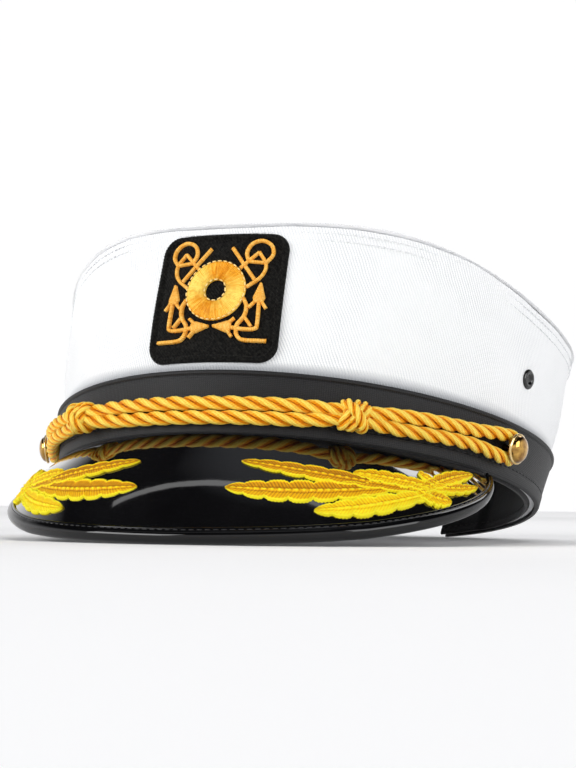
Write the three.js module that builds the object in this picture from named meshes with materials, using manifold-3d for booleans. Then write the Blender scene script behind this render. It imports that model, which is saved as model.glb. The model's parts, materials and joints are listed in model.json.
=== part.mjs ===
// Captain hat: a white cloth crown on a black band, with a glossy black visor, two embroidered
// leaf sprays, an anchor patch, a twisted gold chin cord on two buttons and a cloth strap behind.
// Millimetres, +Z up, the wearer's face towards -Y, the origin on the surface under its middle.
//
// The hat is drawn level first: the head oval's centre at 0, its lower rim at height 0. The last
// lines tip it back on its visor and the two rear ends of the band, as it rests by itself.
// An angle round the head is 0 at the front and grows towards +X.

import * as THREE from 'three';
import { mergeVertices } from 'three/addons/utils/BufferGeometryUtils.js';
import Module from 'manifold-3d';

// Head oval: inside of the sweatband, about 57 cm round
const headHalfWidth = 82.5;
const headHalfLength = 97.5;
const gap = 0.3; // between two pieces that are sewn or pinned together
const seam = 0.5; // between two layers of a wall

// Sweatband: inner black band
const sweatbandThick = 1.4;
const sweatbandHeight = 36;

// Crown: white cloth wall and top
const clothThick = 1.5;
const crownFoot = 1.2; // height of the wall's lower edge, hidden behind the band
const crownHeight = 70.5; // at the front
const crownShift = 2.5; // the soft crown sits a little to the wearer's left
const crownBulge = 1.6; // soft outward belly of the wall
const topRise = 5; // crown of the top panel over its edge
const topOverhang = 0.5; // how far its seam stands out from the wall
// Top edge of the wall, at five equal steps from the front to the back of the head
const crownEdge = [
	{ out: 0, up: 1 },
	{ out: 0.03, up: 1.01 },
	{ out: 0.138, up: 0.81 },
	{ out: 0.17, up: 0.88 },
	{ out: 0.25, up: 0.85 },
];

// Band: outer black band
const bandThick = 1.6;
const bandHeight = 21; // at the front
const bandHeightBack = 18;
const bandLip = 0.7; // rolled upper edge, proud of the band
const bandLipHeight = 2;

// Opening behind the head, and the strap that crosses it
const openingHalf = 32;
const openingSpring = 24; // height where its straight sides turn into the arch
const openingTop = 44;
const strapThick = 1.2;
const strapHeight = 22;
const strapFoot = 6;
const strapOverlap = 17; // length that lies on or in the band at either end

// Visor
const visorThick = 2;
const visorReach = 44; // from the band to the edge, at the front
const visorHalfAngle = 66;
const visorEndReach = 5; // width left at its two ends
const visorDropFront = 63; // degrees below level
const visorDropSide = 44;
const visorArch = 2.6; // rise of the visor's face over a straight line
const visorLift = 1.6; // how far the middle of the edge clears what the hat rests on
const bindingWidth = 3.6;
const bindingThick = 0.9;

// Leaf sprays
const leafThick = 1;

// Patch and emblem
const patchWidth = 46;
const patchHeight = 44.5;
const patchCorner = 6;
const patchThick = 1.2;
const patchFoot = 2.8; // above the band
const patchAngle = 0; // its middle, round the head
const emblemThick = 1.1;
const emblemLine = 2; // width of an anchor's lines
const ringRadius = 10.3;
const ringHole = 3.6;
const ringMiddle = 2; // above the patch's middle

// Chin cord, its knots and buttons
const cordWidth = 4.5;
const cordLevel = 10.5; // middle of the two runs at the buttons
const cordSag = 3.4; // how much lower the runs lie at the front
const cordClear = 0.6; // round the runs, in a knot and at a button
const knotAngle = 31;
const knotLength = 9;
const knotWall = 1;
const knotLift = 2.2; // how far the runs stand off the band inside a knot
const buttonAngle = 70.5;
const buttonWidth = 10.8;
const buttonDome = 3.4;
const shankWidth = 2.2;

// Eyelets
const eyeletAngle = 76;
const eyeletRise = 0.42; // up the wall, between band and crown edge
const eyeletHole = 3.2;
const eyeletBarrel = 4.8;
const eyeletFlange = 7.2;
const eyeletLip = 0.8;

// Steps round the head and along the pieces
const stepsRound = 60;
const stepsUp = 6;
const stepsVisor = 28;
const stepsRun = 34;

const rad = THREE.MathUtils.degToRad;
const clamp = THREE.MathUtils.clamp;
const lerp = THREE.MathUtils.lerp;

const crownInner = sweatbandThick + seam;
const bandInner = crownInner + clothThick + seam;
const bandOuter = bandInner + bandThick;

// A point beside the head oval, `out` mm off it and `up` mm above its rim
function besideHead(degrees, out, up) {
	const turn = rad(degrees);
	return new THREE.Vector3(
		(headHalfWidth + out) * Math.sin(turn),
		-(headHalfLength + out) * Math.cos(turn),
		up,
	);
}

// Even curve round the head through values at equal steps from front to back
function roundHead(values) {
	const last = values.length - 1;
	const share = (index) => (index === 0 || index === last ? 0.5 : 1);
	const waves = values.map((_, wave) => {
		const sum = values.reduce(
			(total, value, index) => total + share(index) * value * Math.cos((Math.PI * wave * index) / last),
			0,
		);
		return (2 * share(wave) * sum) / last;
	});
	return (degrees) => waves.reduce((total, height, wave) => total + height * Math.cos(wave * rad(degrees)), 0);
}

const edgeOut = roundHead(crownEdge.map((row) => row.out * crownHeight));
const edgeUp = roundHead(crownEdge.map((row) => row.up * crownHeight));

// A point that follows the crown wall's lean and belly, `out` mm outside the head oval at its foot.
// `rise` is 0 at the head's rim and 1 at the crown's edge.
function wallPoint(degrees, rise, out) {
	const lean = rise * edgeOut(degrees) + crownBulge * Math.sin(Math.PI * clamp(rise, 0, 1)) ** 2;
	const point = besideHead(degrees, out + lean, rise * edgeUp(degrees));
	point.x += crownShift * rise ** 2;
	return point;
}

// The crown wall's middle surface, and a place on a band at its own height
const crownPoint = (degrees, rise, off) => wallPoint(degrees, rise, crownInner + clothThick / 2 + off);
const bandPoint = (degrees, out, up) => wallPoint(degrees, up / edgeUp(degrees), out);

// Height of the band's upper edge, tallest at the front
function bandTop(degrees) {
	const frontness = (1 + Math.cos(rad(degrees))) / 2;
	return lerp(bandHeightBack, bandHeight, frontness ** 2);
}

// Direction straight out of a surface given by two parameters
function outwardOf(surface, u, v, stepU, stepV) {
	const alongU = surface(u + stepU, v).sub(surface(u - stepU, v));
	const alongV = surface(u, v + stepV).sub(surface(u, v - stepV));
	return alongU.cross(alongV).normalize();
}

// A closed body through rings of equally many points. Round ends are closed by fans from their
// middle, and the ends of a wall by a strip between its two faces.
function loft(rings, ends) {
	const count = rings[0].length;
	const points = rings.flat();
	const triangles = [];
	const quad = (a, b, c, d) => triangles.push(a, b, c, a, c, d);
	const spans = ends === 'joined' ? rings.length : rings.length - 1;
	for (let ring = 0; ring < spans; ring++) {
		const here = ring * count;
		const there = ((ring + 1) % rings.length) * count;
		for (let index = 0; index < count; index++) {
			const next = (index + 1) % count;
			quad(here + index, here + next, there + next, there + index);
		}
	}
	if (ends === 'fan') {
		[0, rings.length - 1].forEach((ring) => {
			const middle = points.length;
			points.push(rings[ring].reduce((sum, point) => sum.add(point), new THREE.Vector3()).divideScalar(count));
			for (let index = 0; index < count; index++) {
				const pair = [ring * count + index, ring * count + ((index + 1) % count)];
				triangles.push(middle, ...(ring === 0 ? pair.reverse() : pair));
			}
		});
	}
	if (ends === 'strip') {
		[0, rings.length - 1].forEach((ring) => {
			for (let index = 0; index < count / 2 - 1; index++) {
				const from = ring * count;
				const corners = [index, index + 1, count - 2 - index, count - 1 - index].map((at) => from + at);
				quad(...(ring === 0 ? corners.reverse() : corners));
			}
		});
	}
	const geometry = new THREE.BufferGeometry().setFromPoints(points);
	geometry.setIndex(triangles);
	return facingOut(geometry);
}

// Turns a closed body's triangles outward if its volume comes out negative
function facingOut(geometry) {
	const position = geometry.getAttribute('position');
	const index = geometry.getIndex();
	const corner = [new THREE.Vector3(), new THREE.Vector3(), new THREE.Vector3()];
	let volume = 0;
	for (let at = 0; at < index.count; at += 3) {
		corner.forEach((point, side) => point.fromBufferAttribute(position, index.getX(at + side)));
		volume += corner[0].dot(corner[1].cross(corner[2]));
	}
	if (volume < 0) {
		for (let at = 0; at < index.count; at += 3) {
			const second = index.getX(at + 1);
			index.setX(at + 1, index.getX(at + 2));
			index.setX(at + 2, second);
		}
	}
	return geometry;
}

const wasm = await Module();
wasm.setup();

// A closed geometry as a solid that can be joined and cut
function toSolid(geometry) {
	const bare = geometry.clone();
	bare.deleteAttribute('normal');
	bare.deleteAttribute('uv');
	const merged = mergeVertices(bare, 1e-4);
	const mesh = new wasm.Mesh({
		numProp: 3,
		vertProperties: new Float32Array(merged.getAttribute('position').array),
		triVerts: new Uint32Array(merged.getIndex().array),
	});
	return new wasm.Manifold(mesh);
}

function fromSolid(solid) {
	const mesh = solid.getMesh();
	const geometry = new THREE.BufferGeometry();
	geometry.setAttribute('position', new THREE.BufferAttribute(mesh.vertProperties, 3));
	geometry.setIndex(new THREE.BufferAttribute(mesh.triVerts, 1));
	return geometry;
}

// Places a shape that was drawn about the Z axis on a surface point, its Z axis along `outward`
function standOn(geometry, point, outward) {
	const turn = new THREE.Quaternion().setFromUnitVectors(new THREE.Vector3(0, 0, 1), outward);
	return geometry.applyQuaternion(turn).translate(point.x, point.y, point.z);
}

const hat = new THREE.Group();

function piece(name, geometry, finish) {
	geometry.computeVertexNormals();
	const mesh = new THREE.Mesh(geometry, new THREE.MeshStandardMaterial(finish));
	mesh.name = name;
	hat.add(mesh);
	return mesh;
}

const whiteTwill = { color: 0xf4f5f6, roughness: 0.9, metalness: 0 };
const blackCloth = { color: 0x232325, roughness: 0.75, metalness: 0 };
const blackPatent = { color: 0x0c0c0d, roughness: 0.08, metalness: 0 };
const yellowThread = { color: 0xf2cc10, roughness: 0.6, metalness: 0 };
const goldThread = { color: 0xf0ae30, roughness: 0.55, metalness: 0 };
const goldCord = { color: 0xe89c20, roughness: 0.5, metalness: 0 };
const gildedMetal = { color: 0xe2b659, roughness: 0.15, metalness: 1 };
const blackMetal = { color: 0x18181a, roughness: 0.2, metalness: 0.8 };

// Eyelets first, because the wall is cut for them
const wallNormal = (degrees, rise) => outwardOf((u, v) => crownPoint(u, v, 0), degrees, rise, 1, 0.01);

function eyeletSeat(side) {
	const degrees = side * eyeletAngle;
	const rise = lerp(bandTop(degrees) / edgeUp(degrees), 1, eyeletRise);
	return { point: crownPoint(degrees, rise, 0), outward: wallNormal(degrees, rise) };
}

function discAt(seat, radius, length, sides) {
	const disc = new THREE.CylinderGeometry(radius, radius, length, sides).rotateX(Math.PI / 2);
	return standOn(disc, seat.point, seat.outward);
}

function makeEyelet(side) {
	const face = clothThick / 2;
	const profile = [
		[eyeletHole / 2, -face],
		[eyeletBarrel / 2, -face],
		[eyeletBarrel / 2, face + gap],
		[eyeletFlange / 2, face + gap],
		[eyeletFlange / 2 - 0.3, face + gap + eyeletLip * 0.6],
		[eyeletBarrel / 2 + 0.2, face + gap + eyeletLip],
		[eyeletHole / 2, face + gap + eyeletLip * 0.4],
	];
	const loop = [...profile, profile[0]].map(([radius, along]) => new THREE.Vector2(radius, along));
	const ring = new THREE.LatheGeometry(loop, 14).rotateX(Math.PI / 2);
	const seat = eyeletSeat(side);
	return standOn(ring, seat.point, seat.outward);
}

// Angle from the front where a wall that stands `out` mm off the head oval meets the opening,
// and where the strap's sewn end lies
const openAngle = (out) => 180 - THREE.MathUtils.radToDeg(Math.asin(openingHalf / (headHalfWidth + out)));
const strapStart = openAngle(0) - THREE.MathUtils.radToDeg(strapOverlap / headHalfWidth);

// Crown wall: rings round the head, up the outer face and down the inner one
function makeCrownSide() {
	const rises = Array.from({ length: stepsUp + 1 }, (_, step) => step / stepsUp);
	const ring = (rise, off) =>
		Array.from({ length: stepsRound }, (_, step) => {
			const degrees = (360 * step) / stepsRound;
			const point = crownPoint(degrees, rise, off);
			point.z = Math.max(point.z, crownFoot);
			return point;
		});
	const half = clothThick / 2;
	const rings = [
		...rises.map((rise) => ring(rise, half)),
		...rises.toReversed().map((rise) => ring(rise, -half)),
	];
	const wall = toSolid(loft(rings, 'joined'));
	const outline = new THREE.Shape();
	outline.moveTo(-openingHalf, -1);
	outline.lineTo(openingHalf, -1);
	outline.lineTo(openingHalf, openingSpring);
	outline.absellipse(0, openingSpring, openingHalf, openingTop - openingSpring, 0, Math.PI, false, 0);
	outline.lineTo(-openingHalf, -1);
	const arch = new THREE.ExtrudeGeometry(outline, {
		depth: headHalfLength,
		bevelEnabled: false,
		curveSegments: 12,
	});
	arch.rotateX(Math.PI / 2).translate(0, headHalfLength * 1.6, 0);
	let cut = wall.subtract(toSolid(arch));
	[-1, 1].forEach((side) => {
		cut = cut.subtract(toSolid(discAt(eyeletSeat(side), eyeletBarrel / 2 + gap, clothThick * 4, 16)));
	});
	return fromSolid(cut);
}

// Top panel: rings from its middle out to the edge and back underneath. It follows the slope from
// front to back, and takes up the edge's dips only near the edge.
function makeCrownTop() {
	const shares = [0.3, 0.6, 0.85, 1];
	const front = crownPoint(0, 1, 0);
	const back = crownPoint(180, 1, 0);
	const centre = front.clone().add(back).multiplyScalar(0.5);
	const slopeAt = (y) => lerp(front.z, back.z, (y - front.y) / (back.y - front.y));
	const ring = (share, side) =>
		Array.from({ length: stepsRound }, (_, step) => {
			const edge = crownPoint((360 * step) / stepsRound, 1, topOverhang + clothThick / 2);
			const dip = edge.z - slopeAt(edge.y);
			const point = centre.clone().lerp(edge, share);
			point.z = slopeAt(point.y) + dip * share ** 3 + topRise * (1 - share ** 2) + gap + clothThick * side;
			return point;
		});
	const rings = [
		...shares.map((share) => ring(share, 1)),
		...shares.toReversed().map((share) => ring(share, 0)),
	];
	return loft(rings, 'fan');
}

// A wall that goes round the head but leaves the opening behind it
function openBand(inner, section) {
	const end = openAngle(inner);
	const step = 360 / stepsRound;
	const most = Math.ceil(end / step) - 1;
	const between = Array.from({ length: 2 * most + 1 }, (_, index) => (index - most) * step);
	return loft([-end, ...between, end].map(section), 'strip');
}

function makeBand() {
	return openBand(bandInner, (degrees) => {
		const top = bandTop(degrees);
		const lipFoot = top - bandLipHeight;
		const levels = [
			{ up: 0, thick: bandThick },
			{ up: lipFoot, thick: bandThick },
			{ up: lipFoot + bandLipHeight * 0.3, thick: bandThick + bandLip },
			{ up: top - bandLipHeight * 0.2, thick: bandThick + bandLip },
			{ up: top, thick: bandThick },
		];
		return [
			...levels.map((row) => bandPoint(degrees, bandInner + row.thick, row.up)),
			...levels.toReversed().map((row) => bandPoint(degrees, bandInner, row.up)),
		];
	});
}

// Sweatband: it steps in over the strap's sewn end
function makeSweatband() {
	const stepLength = 3; // degrees
	const levels = [0, 0.25, 0.5, 0.75, 1].map((share) => share * sweatbandHeight);
	return openBand(0, (degrees) => {
		const stepped = THREE.MathUtils.smoothstep(degrees, strapStart - 2 * stepLength, strapStart - stepLength);
		const stepIn = (strapThick + gap) * stepped;
		return [
			...levels.map((up) => bandPoint(degrees, sweatbandThick - stepIn, up)),
			...levels.toReversed().map((up) => bandPoint(degrees, -stepIn, up)),
		];
	});
}

// Strap: sewn between sweatband and wall on the wearer's left, laid inside the sweatband on the right
function makeStrap() {
	const half = strapHeight / 2;
	const cornerShare = 0.16;
	const steps = 30;
	const sewnOut = crownInner - seam - strapThick;
	const laidOut = -gap - strapThick;
	const edgeAt = 180 - openAngle(0);
	const rings = Array.from({ length: steps + 1 }, (_, step) => {
		const along = step / steps;
		const degrees = lerp(strapStart, 360 - strapStart, along);
		const across = clamp((degrees - 180 + edgeAt) / (2 * edgeAt), 0, 1);
		const ease = THREE.MathUtils.smoothstep(across, 0.04, 0.96);
		const out = lerp(sewnOut, laidOut, ease);
		const round = clamp((along - 1 + cornerShare) / cornerShare, 0, 0.96);
		const tall = half * Math.sqrt(1 - round ** 2);
		const middle = strapFoot + half;
		const rows = [-tall, 0, tall].map((up) => middle + up);
		return [
			...rows.map((up) => bandPoint(degrees, out + strapThick, up)),
			...rows.toReversed().map((up) => bandPoint(degrees, out, up)),
		];
	});
	return loft(rings, 'strip');
}

// Visor surface: `across` is 0 at the band and 1 at the edge
function visorReachAt(degrees) {
	const turn = Math.abs(degrees) / visorHalfAngle;
	return Math.max(visorReach * (1 - turn ** 2.2) ** 0.62, visorEndReach);
}

function visorPoint(degrees, across, off) {
	const turn = Math.abs(degrees) / visorHalfAngle;
	const drop = rad(lerp(visorDropFront, visorDropSide, turn ** 1.6));
	const reach = visorReachAt(degrees);
	const along = reach * across;
	const arch = visorArch * (reach / visorReach) * Math.sin(Math.PI * across) + off;
	const out = along * Math.cos(drop) + arch * Math.sin(drop);
	const up = -along * Math.sin(drop) + arch * Math.cos(drop);
	const lift = visorLift * across ** 2 * Math.cos((Math.PI * clamp(turn / 0.5, 0, 1)) / 2);
	const root = (bandInner + bandOuter) / 2;
	return besideHead(degrees, root + out, up + lift - gap - (visorThick / 2) * Math.cos(drop));
}

const visorEnd = visorHalfAngle * 0.985;
const visorAngles = Array.from({ length: stepsVisor + 1 }, (_, step) =>
	lerp(-visorEnd, visorEnd, step / stepsVisor),
);

function makeVisor() {
	const half = visorThick / 2;
	const rings = visorAngles.map((degrees) => {
		const bound = Math.max(1 - bindingWidth / visorReachAt(degrees), 0.2);
		const shares = [0, bound * 0.25, bound * 0.5, bound * 0.75, bound, 1];
		return [
			...shares.map((across) => visorPoint(degrees, across, half)),
			...shares.toReversed().map((across) => visorPoint(degrees, across, -half)),
		];
	});
	return loft(rings, 'strip');
}

// Binding: a folded strip round the visor's edge
function makeBinding() {
	const inner = visorThick / 2 + gap;
	const outer = inner + bindingThick;
	const rings = visorAngles.map((degrees) => {
		const reach = visorReachAt(degrees);
		const at = (past, off) => visorPoint(degrees, 1 + past / reach, off);
		return [
			at(-bindingWidth, outer * 0.92),
			at(0, outer),
			at(gap + bindingThick * 0.6, outer * 0.5),
			at(gap + bindingThick * 0.6, -outer * 0.5),
			at(0, -outer),
			at(-bindingWidth, -outer * 0.92),
			at(-bindingWidth, -inner),
			at(gap, -inner),
			at(gap, -inner * 0.4),
			at(gap, inner * 0.4),
			at(gap, inner),
			at(-bindingWidth, inner),
		];
	});
	return loft(rings, 'strip');
}

// Leaves of one spray. Tip and foot are given by the angle round the head and the share of the
// way from band to edge, the width as a share of the visor's reach.
const leaves = [
	{ tipAt: 10.5, tipDown: 0.3, footAt: 44, footDown: 0.62, width: 0.15 },
	{ tipAt: 8.5, tipDown: 0.56, footAt: 34, footDown: 0.56, width: 0.2 },
	{ tipAt: 24, tipDown: 0.78, footAt: 46, footDown: 0.66, width: 0.2 },
	{ tipAt: 31, tipDown: 0.4, footAt: 47, footDown: 0.62, width: 0.19 },
	{ tipAt: 57, tipDown: 0.36, footAt: 43, footDown: 0.6, width: 0.2 },
	{ tipAt: 53, tipDown: 0.74, footAt: 43, footDown: 0.62, width: 0.15 },
];

function makeSpray(side) {
	const steps = 5;
	const thinnest = 0.12;
	const floor = visorThick / 2 + gap;
	const surface = (degrees, across, off) => visorPoint(side * degrees, across, floor + off);
	const solids = leaves.map((leaf) => {
		const rings = Array.from({ length: steps + 1 }, (_, step) => {
			const along = step / steps;
			const degrees = lerp(leaf.tipAt, leaf.footAt, along);
			const down = lerp(leaf.tipDown, leaf.footDown, along);
			const swell = Math.max(Math.sin(Math.PI * along ** 0.8) ** 0.7, thinnest);
			const half = (leaf.width * swell) / 2;
			return [
				surface(degrees, down - half, leafThick * 0.4),
				surface(degrees, down, leafThick),
				surface(degrees, down + half, leafThick * 0.4),
				surface(degrees, down, 0),
			];
		});
		return toSolid(loft(rings, 'strip'));
	});
	return fromSolid(solids.reduce((all, leaf) => all.add(leaf)));
}

// Front panel as a drawing board: `x` mm to the right and `y` mm up from the patch's middle
const patchMiddle = bandHeight + patchFoot + patchHeight / 2;
const degreesPerMm = THREE.MathUtils.radToDeg(1 / (headHalfWidth + bandOuter));

function onPanel(x, y, off) {
	const degrees = patchAngle + x * degreesPerMm;
	const rise = (patchMiddle + y) / edgeUp(patchAngle);
	const level = crownPoint(degrees, rise * (edgeUp(patchAngle) / edgeUp(degrees)), 0);
	const outward = wallNormal(degrees, rise);
	return level.addScaledVector(outward, clothThick / 2 + gap + off);
}

// Outline of the patch at a share of its full size
function patchOutline(share) {
	const halfX = patchWidth / 2;
	const halfY = patchHeight / 2;
	const outline = new THREE.Shape();
	outline.absarc(halfX - patchCorner, halfY - patchCorner, patchCorner, 0, Math.PI / 2);
	outline.absarc(patchCorner - halfX, halfY - patchCorner, patchCorner, Math.PI / 2, Math.PI);
	outline.absarc(patchCorner - halfX, patchCorner - halfY, patchCorner, Math.PI, 1.5 * Math.PI);
	outline.absarc(halfX - patchCorner, patchCorner - halfY, patchCorner, 1.5 * Math.PI, 2 * Math.PI);
	outline.closePath();
	const stations = 44;
	return outline.getSpacedPoints(stations).slice(0, stations).map(({ x, y }) => [share * x, share * y]);
}

function makePatch() {
	const shares = [0.34, 0.68, 1];
	const ring = (share, off) => patchOutline(share).map(([x, y]) => onPanel(x, y, off));
	const rings = [
		...shares.map((share) => ring(share, patchThick)),
		...shares.toReversed().map((share) => ring(share, 0)),
	];
	return loft(rings, 'fan');
}

// Emblem: a ring over two crossed anchors, embroidered as one relief
function makeEmblem() {
	const base = patchThick + gap;
	const ringTurns = 20;
	const layerStep = 0.03; // how much higher each crossing line is laid than the last
	const radii = [
		{ radius: ringHole, off: 0 },
		{ radius: ringHole, off: 0.7 },
		{ radius: (ringHole + ringRadius) / 2, off: 1 },
		{ radius: ringRadius, off: 0.6 },
		{ radius: ringRadius, off: 0 },
		{ radius: (ringHole + ringRadius) / 2, off: 0 },
	];
	const ring = loft(
		Array.from({ length: ringTurns }, (_, step) => {
			const turn = (2 * Math.PI * step) / ringTurns;
			return radii.map((row) =>
				onPanel(
					row.radius * Math.cos(turn),
					ringMiddle + row.radius * Math.sin(turn),
					base + row.off * emblemThick * 1.3,
				),
			);
		}),
		'joined',
	);
	// One anchor's lines, for the one whose eye is at the upper left, in shares of half the patch's width
	const lines = [
		{ name: 'shank', points: [[-0.53, 0.57], [-0.27, 0.23], [-0.09, -0.18], [0.18, -0.56], [0.75, -0.71]] },
		{ name: 'stock', points: [[-0.7, 0.32], [-0.5, 0.43], [-0.16, 0.71]] },
		{ name: 'arm', points: [[0.05, -0.39], [0.32, -0.59], [0.57, -0.5], [0.65, -0.18], [0.67, 0.14]] },
		{ name: 'eye', loop: true, points: [[-0.43, 0.66], [-0.56, 0.83], [-0.74, 0.69], [-0.59, 0.52]] },
		{ name: 'fluke', loop: true, points: [[0.54, -0.09], [0.68, 0.25], [0.79, -0.11]] },
	];
	const half = emblemLine / 2;
	const halfWidth = patchWidth / 2;
	const strokeStep = halfWidth / 4;
	const stroke = (line, index, mirror) => {
		const points = line.points.map(([x, y]) => new THREE.Vector3(mirror * x, y, 0).multiplyScalar(halfWidth));
		const route = new THREE.CatmullRomCurve3(points, line.loop);
		const steps = Math.round(route.getLength() / strokeStep) + (line.loop ? 2 : 0);
		const stations = Array.from({ length: line.loop ? steps : steps + 1 }, (_, step) => step / steps);
		const foot = base + index * layerStep;
		const rings = stations.map((station) => {
			const point = route.getPointAt(station);
			const ahead = route.getTangentAt(station);
			const place = (side, off) => onPanel(point.x - side * ahead.y, point.y + side * ahead.x, foot + off);
			const edge = 0.3 * emblemThick;
			return [place(-half, edge), place(0, emblemThick), place(half, edge), place(0, 0)];
		});
		return toSolid(loft(rings, line.loop ? 'joined' : 'strip'));
	};
	let relief = toSolid(ring);
	[-1, 1].forEach((mirror) => {
		lines.forEach((line, index) => {
			relief = relief.add(stroke(line, index * 2 + (mirror > 0 ? 1 : 0), mirror));
		});
	});
	return fromSolid(relief);
}

// Chin cord: one loop, out along the lower run and back along the upper one
const cordRadius = cordWidth / 2;
const runSpread = cordRadius + gap / 2;

// Height of the middle between the two runs
const cordMiddle = (degrees) => cordLevel - cordSag * Math.cos(rad(degrees)) ** 2;

function bandNormal(degrees, up) {
	return outwardOf((u, v) => bandPoint(u, bandOuter, v), degrees, up, 1, 1);
}

function onBand(degrees, up, off) {
	return bandPoint(degrees, bandOuter, up).addScaledVector(bandNormal(degrees, up), off);
}

function cordPoint(degrees, side) {
	const fromKnot = (Math.abs(degrees) - knotAngle) * rad(1) * headHalfWidth;
	const lift = knotLift * Math.exp(-((fromKnot / knotLength) ** 2));
	return onBand(degrees, cordMiddle(degrees) + side * runSpread, gap + cordRadius + lift);
}

function cordRoute() {
	const turnRadius = shankWidth / 2 + cordClear + cordRadius;
	const turnSteps = 5;
	const bow = 13; // degrees before the button where the runs begin to part
	const run = (side) =>
		Array.from({ length: stepsRun + 1 }, (_, step) => {
			const degrees = lerp(-buttonAngle, buttonAngle, step / stepsRun);
			const part = THREE.MathUtils.smoothstep(Math.abs(degrees), buttonAngle - bow, buttonAngle);
			return cordPoint(degrees, side * lerp(1, turnRadius / runSpread, part));
		});
	const turn = (side) =>
		Array.from({ length: turnSteps }, (_, step) => {
			const angle = (Math.PI * (step + 1)) / (turnSteps + 1);
			const along = THREE.MathUtils.radToDeg((turnRadius * Math.sin(angle)) / headHalfLength);
			const level = cordMiddle(buttonAngle) - turnRadius * Math.cos(angle);
			return onBand(side * (buttonAngle + along), level, gap + cordRadius);
		});
	return [...run(-1), ...turn(1), ...run(1).reverse(), ...turn(-1).reverse()];
}

function makeCord() {
	const sides = 8;
	const section = new THREE.Shape(
		Array.from({ length: sides }, (_, side) => {
			const turn = (2 * Math.PI * side) / sides;
			return new THREE.Vector2(cordRadius * Math.cos(turn), cordRadius * Math.sin(turn));
		}),
	);
	const route = cordRoute();
	return new THREE.ExtrudeGeometry(section, {
		steps: route.length,
		bevelEnabled: false,
		extrudePath: new THREE.CatmullRomCurve3(route, true),
	});
}

// Knot: a padded sleeve round both runs
function makeKnot(side) {
	const sides = 12;
	const stations = [
		{ along: -0.5, thick: 0.35 },
		{ along: -0.25, thick: 1 },
		{ along: 0.25, thick: 1 },
		{ along: 0.5, thick: 0.35 },
	];
	const ring = (along, wall) => {
		const degrees = side * knotAngle + THREE.MathUtils.radToDeg((along * knotLength) / headHalfWidth);
		const lower = cordPoint(degrees, -1);
		const upper = cordPoint(degrees, 1);
		const middle = lower.clone().add(upper).multiplyScalar(0.5);
		const rise = upper.clone().sub(lower).normalize();
		const outward = bandNormal(degrees, cordMiddle(degrees));
		return Array.from({ length: sides }, (_, step) => {
			const turn = (2 * Math.PI * step) / sides;
			const radius = cordRadius + cordClear + wall;
			const shift = Math.sign(Math.round(Math.cos(turn) * 1e6)) * runSpread;
			return middle
				.clone()
				.addScaledVector(rise, shift + radius * Math.cos(turn))
				.addScaledVector(outward, radius * Math.sin(turn));
		});
	};
	const rings = [
		...stations.map((row) => ring(row.along, knotWall * row.thick)),
		...stations.toReversed().map((row) => ring(row.along, 0)),
	];
	return loft(rings, 'joined');
}

// Button: a dome on a shank, which stands on the band
function makeButton(side) {
	const headFoot = gap + cordWidth + cordClear;
	const rim = 0.9;
	const arc = 5;
	const dome = Array.from({ length: arc + 1 }, (_, step) => {
		const turn = (Math.PI / 2) * (step / arc);
		return [(buttonWidth / 2) * Math.cos(turn), headFoot + rim + (buttonDome - rim) * Math.sin(turn)];
	});
	dome[arc][0] = 0;
	const profile = [
		[0, gap],
		[shankWidth / 2, gap],
		[shankWidth / 2, headFoot],
		[buttonWidth / 2 - 0.5, headFoot],
		...dome,
	].map(([radius, along]) => new THREE.Vector2(radius, along));
	const shape = new THREE.LatheGeometry(profile, 16).rotateX(Math.PI / 2);
	const degrees = side * buttonAngle;
	return standOn(shape, onBand(degrees, cordMiddle(degrees), 0), bandNormal(degrees, cordMiddle(degrees)));
}

piece('crown_side', makeCrownSide(), whiteTwill);
piece('crown_top', makeCrownTop(), whiteTwill);
const band = piece('band', makeBand(), blackCloth);
piece('sweatband', makeSweatband(), blackCloth);
piece('rear_strap', makeStrap(), blackCloth);
piece('visor', makeVisor(), blackPatent);
const binding = piece('visor_binding', makeBinding(), blackPatent);
piece('patch', makePatch(), blackCloth);
piece('emblem', makeEmblem(), goldThread);
piece('chin_cord', makeCord(), goldCord);
[
	{ side: -1, name: 'right' },
	{ side: 1, name: 'left' },
].forEach(({ side, name }) => {
	piece(`leaf_spray_${name}`, makeSpray(side), yellowThread);
	piece(`knot_${name}`, makeKnot(side), goldCord);
	piece(`button_${name}`, makeButton(side), gildedMetal);
	piece(`eyelet_${name}`, makeEyelet(side), blackMetal);
});

// Resting place: the line from the band's rear ends to the lowest places of the visor's edge
function cornersOf(mesh) {
	const position = mesh.geometry.getAttribute('position');
	return Array.from({ length: position.count }, (_, at) =>
		new THREE.Vector3().fromBufferAttribute(position, at),
	);
}

const rear = cornersOf(band).reduce((best, point) => (point.z < gap && point.y > best.y ? point : best));
const tilt = Math.max(...cornersOf(binding).map((point) => Math.atan2(rear.z - point.z, rear.y - point.y)));
hat.rotation.x = -tilt;
const size = new THREE.Box3().setFromObject(hat, true);
const middle = size.getCenter(new THREE.Vector3());
hat.position.set(-middle.x, -middle.y, -size.min.z);

const model = new THREE.Group();
model.add(hat);

export default model;
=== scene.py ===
import json
import math

import bpy
import numpy as np
from mathutils import Matrix, Vector


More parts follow.
